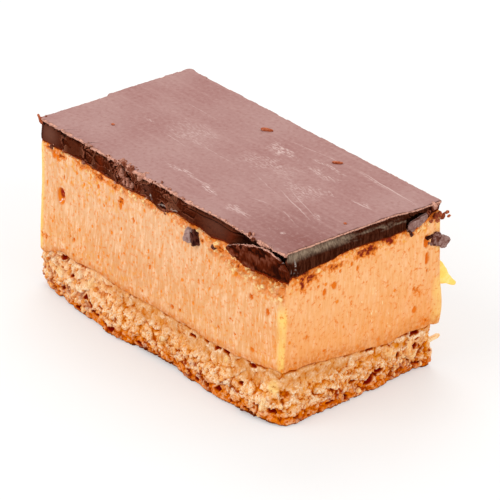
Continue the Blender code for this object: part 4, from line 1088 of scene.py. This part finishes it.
Scuff = namedtuple("Scuff", "x y half_along half_across turn patchy strength")
SCUFFS = rows(Scuff,
    (27.5, 15.2, 10.0, 0.20, -0.073, 0.3, 0.75), (24.0, 15.0, 7.0, 0.5, -0.06, 1.0, 0.5),
    (22.4, -4.5, 7.9, 0.18, -0.286, 0.3, 0.65), (23.0, -2.9, 8.2, 0.15, -0.332, 0.4, 0.55),
    (29.0, -4.6, 1.8, 0.8, -0.3, 0.9, 0.7), (30.3, 5.8, 3.1, 0.22, 0.06, 0.4, 0.75),
    (31.0, 6.4, 2.0, 0.5, -0.3, 1.0, 0.6), (18.0, -15.0, 3.8, 0.20, 0.16, 0.4, 0.7),
    (18.6, -15.0, 3.4, 0.20, -0.22, 0.4, 0.7), (17.0, -14.6, 3.0, 1.3, 0.0, 1.0, 0.6),
    (7.8, 14.7, 9.8, 0.15, 0.118, 0.7, 0.55), (2.7, 10.0, 4.8, 1.9, 0.05, 1.0, 0.95),
    (7.2, -13.0, 3.6, 1.1, -0.1, 1.0, 0.9), (3.0, -12.6, 4.0, 0.3, -0.05, 0.6, 0.5),
    (16.7, -8.9, 2.8, 0.15, 0.31, 0.5, 0.55), (30.3, -14.1, 0.8, 0.5, 0.0, 0.9, 0.9),
    (27.6, -14.6, 1.6, 0.25, 0.9, 0.9, 0.7), (23.0, 4.4, 1.6, 0.6, -0.3, 1.0, 0.9),
    (14.0, 12.2, 6.0, 0.5, -0.02, 1.0, 0.7), (15.5, 9.0, 5.0, 1.6, -0.1, 1.0, 0.7),
    (18.0, 1.0, 7.0, 3.0, -0.1, 1.05, 0.45), (6.0, 3.0, 9.0, 4.0, 0.0, 1.05, 0.45),
    (-6.0, -2.0, 9.0, 0.14, -0.03, 0.8, 0.45), (-22.0, 8.5, 7.0, 0.14, -0.02, 0.8, 0.45),
    (-14.0, 0.0, 9.0, 4.0, 0.0, 1.1, 0.33), (-14.1, -4.6, 5.0, 0.16, -0.1, 0.6, 0.5),
    (-24.4, -2.7, 1.6, 0.5, 0.1, 0.9, 0.6), (-2.0, -12.5, 6.0, 0.8, 0.0, 1.0, 0.6),
    (26.0, -9.0, 5.0, 0.2, -0.3, 0.9, 0.5), (12.0, -3.0, 7.0, 0.15, -0.25, 0.8, 0.45))


def scuff_group():
    """One scuff or scratch on the top: an ellipse in the level plane, placed, turned and sized by its
    inputs, its edge bent by noise and its inside broken up where Patchy is high."""
    name = "scuff_mark"
    if name in bpy.data.node_groups:
        return bpy.data.node_groups[name]
    tree = bpy.data.node_groups.new(name, "ShaderNodeTree")
    for socket in ("Place", "Turn", "Size"):
        tree.interface.new_socket(socket, in_out="INPUT", socket_type="NodeSocketVector")
    for socket in ("Patchy", "Strength"):
        tree.interface.new_socket(socket, in_out="INPUT", socket_type="NodeSocketFloat")
    tree.interface.new_socket("Mask", in_out="OUTPUT", socket_type="NodeSocketFloat")
    given = add_node(tree, "NodeGroupInput").outputs
    place = add_node(tree, "ShaderNodeTexCoord").outputs["Object"]
    wander = noise_of(tree, 260.0, 3.0)
    speckle = noise_of(tree, (850.0, 3600.0, 2000.0), 4.0)
    inputs = {"Vector": place, "Location": given["Place"], "Rotation": given["Turn"],
              "Scale": given["Size"]}
    local = add_node(tree, "ShaderNodeMapping", inputs, vector_type="TEXTURE").outputs[0]
    parts = add_node(tree, "ShaderNodeSeparateXYZ", {0: local}).outputs
    across = sum_of(tree, parts["Y"], spread(tree, wander, 0.3, 0.7, -0.9, 0.9))
    round_x = times(tree, parts["X"], parts["X"])
    round_y = times(tree, across, across)
    inside = spread(tree, sum_of(tree, round_x, round_y), 1.0, 0.1)
    broken = spread(tree, speckle, 0.47, 0.66, -1.0, 0.6)
    soft = sum_of(tree, 1.0, times(tree, given["Patchy"], broken))
    clipped = add_node(tree, "ShaderNodeClamp", {0: soft}).outputs[0]
    mask = times(tree, times(tree, inside, clipped), given["Strength"])
    add_node(tree, "NodeGroupOutput", {"Mask": mask})
    return tree


def scuff_marks(tree):
    """The strongest of all the named scuffs at each point of the top."""
    strongest = None
    for scuff in SCUFFS:
        node = add_node(tree, "ShaderNodeGroup", node_tree=scuff_group())
        set_inputs(tree, node, {
            "Place": (scuff.x * MM, scuff.y * MM, 0.0), "Turn": (0.0, 0.0, scuff.turn),
            "Size": (scuff.half_along * MM, scuff.half_across * MM, 1.0), "Patchy": scuff.patchy,
            "Strength": scuff.strength})
        mask = node.outputs["Mask"]
        strongest = mask if strongest is None else sum_of(tree, strongest, mask, "MAXIMUM")
    return strongest


def new_material(name):
    material = bpy.data.materials.new(name)
    material.use_nodes = True
    return material, material.node_tree, material.node_tree.nodes["Principled BSDF"]


def set_bump(tree, shader, height, strength, distance):
    inputs = {"Height": height, "Strength": strength, "Distance": distance}
    bump = add_node(tree, "ShaderNodeBump", inputs)
    tree.links.new(bump.outputs["Normal"], shader.inputs["Normal"])


def shortbread_material(colours):
    """Cream crests painted paler as painted highlight, orange seams and hollows, dark creases,
    gaps, pits and a line under the caramel as painted shade, a tan smear under the caramel, a baked
    foot, and a painted contact shadow below the foot."""
    material, tree, shader = new_material("shortbread_crumb")
    fine = placed_grain(tree, 2600.0, 0.5).outputs["Value"]
    grit = placed_grain(tree, 1300.0, 0.60).outputs["Mask"]
    patch = placed_grain(tree, 520.0, 0.5)
    specks = placed_grain(tree, 950.0, 0.64).outputs["Mask"]
    fine_cover = spread(tree, fine, 0.36, 0.56)
    patchy = spread(tree, patch.outputs["Value"], 0.3, 0.7, 0.35, 0.95)
    pale_end = masked(tree, "pale_end", 0.0, 1.0, 0.0, 0.32)
    pale_end = times(tree, pale_end, masked(tree, "baked", 0.2, 0.8, 1.0, 0.15))
    # Crests: paler where the relief stands out above its neighbours, as painted highlight
    crest = times(tree, masked(tree, "hollow", 0.1, -0.6), spread(tree, fine, 0.40, 0.56, 0.2, 0.9))
    crest = times(tree, crest, masked(tree, "baked", 0.0, 1.0, 1.0, 0.22))
    smear = times(tree, masked(tree, "smear", 0.1, 0.9), patchy)
    specks = times(tree, specks, masked(tree, "hollow", -0.4, 0.3, 0.2, 0.8))
    pale = blend(tree, fine_cover, (0.88, 0.41, 0.15), colours.crumb_pale)
    colour = painted(tree, pale, (
        ("orange crumbs", ("tint", -0.045, 0.45, 0.0, 0.8), (0.84, 0.31, 0.075)),
        ("peach patches", times(tree, patch.outputs["Mask"], 0.55), (0.82, 0.33, 0.09)),
        ("brown grit", times(tree, grit, 0.9), (0.58, 0.13, 0.010)),
        ("smear under the caramel", smear, colours.crumb_tan),
        ("warmer right face", ("right", 0.2, 1.2, 0.0, 0.5), (0.74, 0.24, 0.04)),
        ("baked foot", ("baked", 0.0, 0.9, 0.0, 0.92), colours.crumb_baked),
        # Painted shade in the hollows, creases and gaps between clumps
        ("orange hollows", ("hollow", 0.1, 0.75), (0.58, 0.105, 0.006)),
        ("creases", ("crisp", 0.2, 1.0, 0.0, 0.8), (0.42, 0.045, 0.002)),
        ("gaps between clumps", ("gap",), (0.36, 0.030, 0.001)),
        ("pale left end", pale_end, (1.0, 0.74, 0.50)),
        # Painted highlight on the crumbs that stand out
        ("cream crests", crest, (1.0, 0.82, 0.60)),
        ("butter", ("butter", 0.3, 0.9, 0.0, 0.85), (1.0, 0.70, 0.33)),
        ("dark specks", specks, (0.40, 0.045, 0.003)),
        # Painted shade in the pits and along the line under the caramel
        ("brown sides of pits", ("pit", 0.0, 0.4, 0.0, 0.8), (0.55, 0.075, 0.004)),
        ("pits", ("pit", 0.25, 0.75), colours.crumb_pit_shade),
        ("line under the caramel", ("line", 0.2, 0.9, 0.0, 0.85), (0.30, 0.016, 0.001)),
        # Painted contact shadow below the foot
        ("dark below the foot", ("under", 0.0, 1.0, 0.0, 0.95), (0.11, 0.012, 0.002)),
    ))
    inputs = {"Saturation": CRUMB_SATURATION, "Color": colour}
    warmer = add_node(tree, "ShaderNodeHueSaturation", inputs).outputs["Color"]
    set_inputs(tree, shader, {"Base Color": warmer, "Roughness": 0.8, "Specular IOR Level": 0.02})
    set_bump(tree, shader, fine, 0.45, 0.25 * MM)
    return material


def caramel_material(colours):
    """Cut caramel with fine upright lines, orange specks and bubbles, thin bright edges as painted light
    shining through, and a torn zone at the top. The right face and the upper left of the front are
    painted lighter as painted light; the torn bits, the large bubble's core and a band under the
    chocolate carry painted shade and highlight."""
    material, tree, shader = new_material("cut_caramel")
    fine = placed_grain(tree, 1300.0, 0.5).outputs["Value"]
    dots = placed_grain(tree, 620.0, 0.64).outputs["Mask"]
    pores = placed_grain(tree, 850.0, 0.57).outputs["Mask"]
    knife = noise_of(tree, (2400.0, 2400.0, 420.0), 3.0)
    dash = noise_of(tree, (1300.0, 1300.0, 620.0), 4.0)
    on_front = masked(tree, "right", 0.0, 0.5, 0.85, 0.35)
    torn = masked(tree, "torn")
    foot = times(tree, masked(tree, "foot", 0.1, 0.9), spread(tree, fine, 0.38, 0.60, 0.25, 1.0))
    stain = sum_of(tree, masked(tree, "stain"), spread(tree, fine, 0.3, 0.7, -0.1, 1.1))
    fleck = times(tree, spread(tree, dash, 0.38, 0.30, 0.0, 0.75), masked(tree, "fleck"))

    def mostly_front(share):
        return times(tree, share, on_front)

    def where_torn(strength, *mask):
        return times(tree, times(tree, torn, masked(tree, *mask)), strength)

    ground = blend(tree, masked(tree, "broad", -0.8, 0.8), colours.caramel, (0.84, 0.43, 0.185))
    colour = painted(tree, ground, (
        ("greyer middle", ("grey", 0.1, 1.0, 0.0, 0.6), (0.74, 0.35, 0.155)),
        # Upper left of the front painted paler, as painted light from above that leaves the lower part
        # darker
        ("paler upper left", ("upper", 0.0, 1.0, 0.0, 0.55), (0.82, 0.50, 0.30)),
        # Right face painted brighter and warmer, as painted light reflected onto that side
        ("right face", ("right", 0.2, 0.9, 0.0, 0.75), (0.97, 0.48, 0.19)),
        ("warmer low part", ("warm", 0.0, 1.0, 0.0, 0.6), (0.90, 0.33, 0.075)),
        ("pale streaks", mostly_front(masked(tree, "streak", 0.0, 0.7, 0.0, 0.8)), colours.caramel_pale),
        ("deep streaks", mostly_front(masked(tree, "streak", -0.15, -0.75, 0.0, 0.55)), (0.78, 0.29, 0.07)),
        ("pale knife lines", mostly_front(spread(tree, knife, 0.52, 0.70, 0.0, 0.7)), (1.0, 0.70, 0.46)),
        ("deep knife lines", spread(tree, knife, 0.46, 0.32, 0.0, 0.35), (0.78, 0.29, 0.07)),
        ("orange dashes", mostly_front(spread(tree, dash, 0.58, 0.67)), (0.86, 0.27, 0.03)),
        ("orange dots", times(tree, dots, times(tree, on_front, 0.7)), (0.84, 0.27, 0.035)),
        ("pores", times(tree, pores, masked(tree, "pores")), (0.86, 0.34, 0.035)),
        ("pale flecks", fleck, (1.0, 0.76, 0.42)),
        # Painted glow of light shining through the thin edges
        ("thin bright edges", ("thin", 0.0, 1.0, 0.0, 0.85), colours.caramel_painted_glow),
        # The torn bits are darker in their hollows and seams and paler on their crests: painted shade and
        # highlight on the torn relief
        ("torn hollows", where_torn(0.65, "torn_noise", 0.0, -0.4), (0.84, 0.22, 0.012)),
        ("torn crests", where_torn(0.9, "torn_noise", 0.05, 0.4), (1.0, 0.74, 0.33)),
        ("torn seams", where_torn(0.7, "torn_seam", 0.2, 0.9), (0.70, 0.15, 0.008)),
        ("foot", times(tree, foot, 0.85), (0.66, 0.18, 0.022)),
        ("specks", ("speck", 0.1, 0.6), (0.88, 0.26, 0.025)),
        ("bubbles", ("bubble", 0.1, 0.8), colours.caramel_deep),
        # Painted shade deep inside the large bubble
        ("core of the large bubble", ("core", 0.2, 0.6), (0.28, 0.010, 0.001)),
        ("glints", ("glint", 0.4, 0.8), (1.0, 0.95, 0.88)),
        # Dark smears, and a painted shadow along the chocolate's lower edge
        ("edges of stains", spread(tree, stain, 0.65, 1.1, 0.0, 0.95), (0.82, 0.20, 0.012)),
        ("stains", spread(tree, stain, 1.15, 1.65), (0.22, 0.014, 0.002)),
    ))
    set_inputs(tree, shader, {"Base Color": colour, "Roughness": 0.45, "Specular IOR Level": 0.06})
    set_bump(tree, shader, sum_of(tree, fine, knife), 0.25, 0.15 * MM)
    return material


def chocolate_side(tree, colours, fine):
    """Colour of the chocolate's broken sides, from its relief masks: painted reflections on flat faces
    and smooth patches, painted highlight on crests and painted shade in sunk parts and holes.
    """
    upright = noise_of(tree, (2600.0, 2600.0, 520.0), 3.0)
    drawn = blend(tree, spread(tree, upright, 0.42, 0.66), (0.024, 0.005, 0.002), (0.082, 0.024, 0.012))
    # Some flat faces painted lighter, as painted reflections of light on glossy faces
    painted_facet_sheen = times(tree, masked(tree, "facet", 0.62, 0.72, 0.0, 0.75), masked(tree, "rough", 0.1, 0.7))
    painted_crest_highlight = times(tree, masked(tree, "crisp", 0.1, 0.9), masked(tree, "rough", 0.15, 0.8))
    streaks = spread(tree, upright, 0.36, 0.58, 0.45, 1.0)
    shine = times(tree, masked(tree, "shine", 0.1, 1.0, 0.0, 0.95), streaks)
    rim = times(tree, masked(tree, "rim", 0.2, 0.7, 0.0, 0.95), masked(tree, "seam", 0.5, 1.0, 1.0, 0.3))
    ground = blend(tree, spread(tree, fine, 0.4, 0.65), colours.chocolate, (0.085, 0.014, 0.004))
    return painted(tree, ground, (
        # Painted sheen on smooth patches
        ("smooth patches", ("smooth", 0.1, 1.0, 0.0, 0.75), (0.165, 0.058, 0.034)),
        ("painted_facet_sheen", painted_facet_sheen, (0.19, 0.066, 0.034)),
        ("red patches", ("red", 0.1, 1.0, 0.0, 0.75), (0.15, 0.018, 0.004)),
        # Painted highlight on the crests
        ("crests", times(tree, painted_crest_highlight, 0.8), colours.chocolate_crest_highlight),
        # Painted shade in sunk parts and holes
        ("sunk parts", ("crisp", -0.1, -0.8, 0.0, 0.85), (0.014, 0.003, 0.002)),
        ("holes", ("hole",), (0.006, 0.002, 0.001)),
        ("right face", ("right", 0.3, 0.8, 0.0, 0.8), drawn),
        ("shine", shine, (0.33, 0.24, 0.165)),
        ("foot", ("foot", 0.2, 0.8, 0.0, 0.9), (0.22, 0.022, 0.003)),
        ("glints", ("glint", 0.35, 0.8, 0.0, 0.6), (0.62, 0.54, 0.48)),
        ("rim", rim, colours.chocolate_rim),
    ))


def chocolate_face(tree, colours):
    """Colour of the chocolate's dull top, whose colour also carries its sheen as painted reflection:
    clouds, brushing along the bar, fine speckle, a corner darkened as painted shade, and scuffs.
    The brushing is returned too."""
    brushed = noise_of(tree, (45.0, 900.0, 900.0), 4.0)
    cloud = noise_of(tree, 55.0, 4.0)
    speckle = noise_of(tree, 1200.0, 4.0)
    place = add_node(tree, "ShaderNodeTexCoord").outputs["Object"]
    inputs = {"Vector": place, "Location": PAINTED_SHADE_CORNER_PLACE, "Scale": PAINTED_SHADE_CORNER_SIZE}
    corner = add_node(tree, "ShaderNodeMapping", inputs, vector_type="TEXTURE").outputs[0]
    reach = add_node(tree, "ShaderNodeVectorMath", {0: corner}, operation="LENGTH").outputs["Value"]
    dull = blend(tree, spread(tree, cloud, 0.36, 0.64), (0.375, 0.195, 0.178), colours.chocolate_top)
    return painted(tree, dull, (
        # Painted shade on the top's front corner
        ("dark corner", spread(tree, reach, 1.0, 0.1, 0.0, 0.95), (0.27, 0.115, 0.102)),
        ("brushing", spread(tree, brushed, 0.48, 0.72, 0.0, 0.35), (0.48, 0.285, 0.26)),
        ("pale speckle", spread(tree, speckle, 0.52, 0.70, 0.0, 0.30), (0.52, 0.33, 0.30)),
        ("dark speckle", spread(tree, speckle, 0.46, 0.32, 0.0, 0.30), (0.29, 0.12, 0.10)),
        ("scuffs", scuff_marks(tree), colours.chocolate_scuff),
    )), brushed


def chocolate_material(colours):
    """Dark snapped sides with crests lightened as painted highlight and a pink broken rim, and a dull
    mauve top whose colour carries its sheen as painted reflection, with scratches and scuffs."""
    material, tree, shader = new_material("set_chocolate")
    fine = placed_grain(tree, 1800.0, 0.56).outputs["Value"]
    side = chocolate_side(tree, colours, fine)
    face, brushed = chocolate_face(tree, colours)
    top = masked(tree, "top")
    top_gloss = spread(tree, brushed, 0.3, 0.7, 0.40, 0.55)
    gloss = add_node(tree, "ShaderNodeMix", {0: top, 2: 0.5, 3: top_gloss}).outputs[0]
    coat = sum_of(tree, times(tree, masked(tree, "shine"), 0.06), times(tree, masked(tree, "smooth"), 0.1))
    set_inputs(tree, shader, {
        "Base Color": blend(tree, top, side, face), "Roughness": gloss, "Specular IOR Level": 0.0,
        "Coat Weight": coat, "Coat Roughness": 0.3})
    set_bump(tree, shader, fine, 0.2, 0.12 * MM)
    return material


def lump_material(name, tones, roughness, glow=0.0):
    """Three tones, dark to pale, mixed by the lump's own relief and the fine grain: darker where it is
    sunk and paler where it stands out, as painted shade and highlight. Glow is an emission that
    stands in for light coming through thin caramel."""
    low, middle, high = tones
    material, tree, shader = new_material(name)
    fine = placed_grain(tree, 2200.0, 0.5).outputs["Value"]
    mixed = sum_of(tree, masked(tree, "tint", -0.8, 0.8), fine)
    colour = blend(tree, spread(tree, mixed, 0.5, 0.95), low, middle)
    colour = blend(tree, spread(tree, mixed, 0.95, 1.45), colour, high)
    set_inputs(tree, shader, {
        "Base Color": colour, "Roughness": roughness, "Specular IOR Level": 0.03,
        "Emission Color": (*high, 1.0), "Emission Strength": glow})
    set_bump(tree, shader, fine, 0.3, 0.15 * MM)
    return material


def floor_material(colour):
    """A pale floor with faint dust. Its own weak light keeps shadows on it pale."""
    material, tree, shader = new_material("studio_floor")
    dust = placed_grain(tree, 90.0, 0.5).outputs["Value"]
    tone = blend(tree, times(tree, dust, 0.02), colour, FLOOR_DUST)
    set_inputs(tree, shader, {
        "Base Color": tone, "Roughness": 0.95, "Specular IOR Level": 0.1,
        "Emission Color": FLOOR_LIGHT, "Emission Strength": FLOOR_LIGHT_STRENGTH})
    return material


# Operators

class OBJECT_OT_shortbread_base(bpy.types.Operator):
    """Add the crumbly shortbread base"""
    bl_idname = "object.shortbread_base"
    bl_label = "Shortbread base"

    def execute(self, context):
        scene = context.scene
        points, masks = base_surface(scene.shortbread_sizes)
        faces = belt_faces(*points.shape[:2])
        piece = new_piece("crumb_base", points, faces, masks, shortbread_material(scene.shortbread_colours))
        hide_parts("shortbread_base")
        return {"FINISHED"}


class OBJECT_OT_shortbread_caramel(bpy.types.Operator):
    """Add the cut caramel layer"""
    bl_idname = "object.shortbread_caramel"
    bl_label = "Caramel layer"

    def execute(self, context):
        scene = context.scene
        points, masks = caramel_surface(scene.shortbread_sizes)
        faces = belt_faces(*points.shape[:2])
        piece = new_piece("cut_caramel", points, faces, masks, caramel_material(scene.shortbread_colours))
        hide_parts("caramel_layer")
        return {"FINISHED"}


class OBJECT_OT_shortbread_chocolate(bpy.types.Operator):
    """Add the chocolate top and the flake that hangs from it"""
    bl_idname = "object.shortbread_chocolate"
    bl_label = "Chocolate top"

    def execute(self, context):
        scene = context.scene
        material = chocolate_material(scene.shortbread_colours)
        points, masks = chocolate_surface(scene.shortbread_sizes)
        piece = new_piece("chocolate_slab", points, belt_faces(*points.shape[:2]), masks, material)
        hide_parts("chocolate_top")
        points, masks = flake_surface()
        flake = new_piece("hanging_flake", points, belt_faces(*points.shape[:2]), masks, material)
        return {"FINISHED"}


def add_lumps(name, lumps, material, rings, columns):
    points, faces, tint = joined_lumps(lumps, rings, columns)
    piece = new_piece(name, points, faces, {"tint": tint}, material)


def near_edge(points, reach):
    """1 where a point lies within reach of the bar's outer faces, 0 further in."""
    sizes = bpy.context.scene.shortbread_sizes
    inside = np.abs(points[..., 0]) < sizes.length / 2 - reach
    inside = inside & (np.abs(points[..., 1]) < sizes.width / 2 - reach)
    return 1.0 - inside


class OBJECT_OT_shortbread_chips(bpy.types.Operator):
    """Add the chocolate chips, the curls on the top and the tongue of caramel"""
    bl_idname = "object.shortbread_chips"
    bl_label = "Chips and tongue"

    def execute(self, context):
        chip = lump_material("chocolate_chip", CHIP_COLOURS, 0.5)
        add_lumps("chocolate_chips", CHIPS, chip, 36, 48)
        curl = lump_material("chocolate_curl", CURL_COLOURS, 0.5)
        add_lumps("chocolate_curls", CURLS + BROWN_BITS, curl, 16, 20)
        points, tint = tongue_surface()
        # The tongue is given a weak emission, a painted glow of light shining through thin caramel
        thin = lump_material("glowing_thin_caramel", TONGUE_COLOURS, 0.4, 0.12)
        tongue = new_piece("caramel_tongue", points, belt_faces(*points.shape[:2]), {"tint": tint}, thin)
        return {"FINISHED"}


class OBJECT_OT_shortbread_crumbs(bpy.types.Operator):
    """Add the crumbs that stick to the base"""
    bl_idname = "object.shortbread_crumbs"
    bl_label = "Crumbs"

    def execute(self, context):
        points, masks = base_surface(context.scene.shortbread_sizes)
        z = points[..., 2]
        on_wall = (z > 1.1 * MM) * (z < 9.3 * MM) * near_edge(points, 4 * MM)
        weight = on_wall * (1.0 - 0.85 * masks["smear"]) * (1.0 - masks["pit"])
        weight = weight * (0.5 + 2 * masks["open_end"])
        crumb = lump_material("loose_crumb", CRUMB_COLOURS, 0.75)
        lumps = drawn_lumps(points, weight, 650, (0.3, 1.0), 0.9, 0.75, 5)
        add_lumps("small_crumbs", lumps, crumb, 6, 8)
        add_lumps("end_crumbs", END_CRUMBS, crumb, 36, 48)
        return {"FINISHED"}


class OBJECT_OT_shortbread_shards(bpy.types.Operator):
    """Add the chocolate shards along the broken edges"""
    bl_idname = "object.shortbread_shards"
    bl_label = "Chocolate shards"

    def execute(self, context):
        sizes = context.scene.shortbread_sizes
        points, masks = chocolate_surface(sizes)
        down = sizes.height - points[..., 2]
        x, y = points[..., 0], points[..., 1]
        outer = near_edge(points, 1.2 * MM)
        edge = outer * hill(down, 0.4 * MM) * (y < -18 * MM) * humps(x, EDGE_CURLS) / MM
        rubble = outer * (y < -18 * MM) * hill(x + 11 * MM, 2.6 * MM) * (down < 4.2 * MM)
        far = outer * (masks["right"] > 0.5) * ramp(15.8 * MM, 17 * MM, y) * (down > 0.3 * MM)
        foot = outer * (y < -18 * MM) * masks["foot"] * ramp(8 * MM, 2 * MM, x)
        shard = lump_material("chocolate_shard", SHARD_COLOURS, 0.5)
        weight = 0.6 * edge + 2.2 * rubble + 1.5 * far + 0.3 * foot
        lumps = drawn_lumps(points, weight, 150, (0.35, 1.4), 0.5, 0.6, 6)
        add_lumps("chocolate_shards", lumps, shard, 5, 7)
        return {"FINISHED"}


class OBJECT_OT_shortbread_stage(bpy.types.Operator):
    """Add the floor, the soft studio light and the camera"""
    bl_idname = "object.shortbread_stage"
    bl_label = "Stage"

    def execute(self, context):
        scene = context.scene
        settings = scene.shortbread_stage
        add_floor(settings)
        add_lights(settings)
        add_camera(settings)
        scene.view_settings.view_transform = "Standard"
        return {"FINISHED"}


def add_floor(settings):
    mesh = bpy.data.meshes.new("studio_floor")
    corners = np.array([(-1, -1, 0), (1, -1, 0), (1, 1, 0), (-1, 1, 0)]) * FLOOR_REACH
    mesh.from_pydata(corners - (0, 0, FLOOR_DROP), [], [(0, 1, 2, 3)])
    mesh.materials.append(floor_material(tuple(settings.floor_colour)))
    floor = bpy.data.objects.new("studio_floor", mesh)
    bpy.context.scene.collection.objects.link(floor)


SoftLight = namedtuple("SoftLight", "name azimuth elevation distance size power colour")
SOFT_LIGHTS = rows(SoftLight,
    ("key_left", -15, 42, 0.9, 0.5, 2.3, (1.0, 1.0, 1.0)),
    ("fill_right", 100, 35, 0.9, 0.4, 1.5, (1.0, 0.99, 0.97)),
    ("back_top", 235, 50, 0.9, 0.5, 2.0, (1.0, 0.99, 0.98)))


def add_lights(settings):
    """A white sky all round and square soft lights, each looking at the bar from its own direction."""
    world = bpy.data.worlds.new("soft_sky")
    world.use_nodes = True
    sky = world.node_tree.nodes["Background"]
    sky.inputs["Color"].default_value = (1.0, 1.0, 1.0, 1.0)
    sky.inputs["Strength"].default_value = settings.sky_strength
    bpy.context.scene.world = world
    for light in SOFT_LIGHTS:
        data = bpy.data.lights.new(light.name, "AREA")
        data.size = light.size
        data.energy = light.power
        data.color = light.colour
        lamp = bpy.data.objects.new(light.name, data)
        bpy.context.scene.collection.objects.link(lamp)
        right, up, back = view_axes(math.radians(light.azimuth), math.radians(light.elevation), 0.0)
        set_pose(lamp, right, up, back, back * light.distance + np.array(LIGHT_AIM))


def view_axes(azimuth, elevation, roll):
    """Right, up and back directions of a view: back points from the bar to the viewer."""
    sin_a, cos_a = math.sin(azimuth), math.cos(azimuth)
    back = np.array((sin_a * math.cos(elevation), -cos_a * math.cos(elevation), math.sin(elevation)))
    right = np.array((cos_a, sin_a, 0.0))
    up = np.cross(back, right)
    turned_right = math.cos(roll) * right + math.sin(roll) * up
    turned_up = math.cos(roll) * up - math.sin(roll) * right
    return turned_right, turned_up, back


def set_pose(obj, right, up, back, place):
    pose = np.eye(4)
    pose[:3, 0] = right
    pose[:3, 1] = up
    pose[:3, 2] = back
    pose[:3, 3] = place
    obj.matrix_world = Matrix(pose.tolist())


def add_camera(settings):
    data = bpy.data.cameras.new("camera")
    data.lens = settings.lens
    data.sensor_width = SENSOR_WIDTH
    data.clip_start = 0.01
    camera = bpy.data.objects.new("camera", data)
    bpy.context.scene.collection.objects.link(camera)
    right, up, back = view_axes(settings.azimuth, settings.elevation, settings.roll)
    place = back * settings.distance + right * settings.shift_right + up * settings.shift_up
    set_pose(camera, right, up, back, place)
    bpy.context.scene.camera = camera


class VIEW3D_PT_shortbread(bpy.types.Panel):
    """Sidebar panel with one button for each piece"""
    bl_label = "Shortbread bar"
    bl_idname = "VIEW3D_PT_shortbread"
    bl_space_type = "VIEW_3D"
    bl_region_type = "UI"
    bl_category = "Shortbread"

    def draw(self, context):
        for operator in OPERATORS:
            self.layout.operator(operator.bl_idname)


OPERATORS = (
    OBJECT_OT_shortbread_stage,
    OBJECT_OT_shortbread_base,
    OBJECT_OT_shortbread_caramel,
    OBJECT_OT_shortbread_chocolate,
    OBJECT_OT_shortbread_chips,
    OBJECT_OT_shortbread_crumbs,
    OBJECT_OT_shortbread_shards,
)
SETTINGS = {
    "shortbread_sizes": ShortbreadSizes,
    "shortbread_colours": ShortbreadColours,
    "shortbread_stage": ShortbreadStage,
}


def register():
    for name, group in SETTINGS.items():
        bpy.utils.register_class(group)
        setattr(bpy.types.Scene, name, bpy.props.PointerProperty(type=group))
    for operator in OPERATORS:
        bpy.utils.register_class(operator)
    bpy.utils.register_class(VIEW3D_PT_shortbread)


def unregister():
    bpy.utils.unregister_class(VIEW3D_PT_shortbread)
    for operator in reversed(OPERATORS):
        bpy.utils.unregister_class(operator)
    for name, group in SETTINGS.items():
        delattr(bpy.types.Scene, name)
        bpy.utils.unregister_class(group)


def main():
    register()
    bpy.ops.object.shortbread_stage()
    bpy.ops.object.shortbread_base()
    bpy.ops.object.shortbread_caramel()
    bpy.ops.object.shortbread_chocolate()
    bpy.ops.object.shortbread_chips()
    bpy.ops.object.shortbread_crumbs()
    bpy.ops.object.shortbread_shards()


if __name__ == "__main__":
    main()
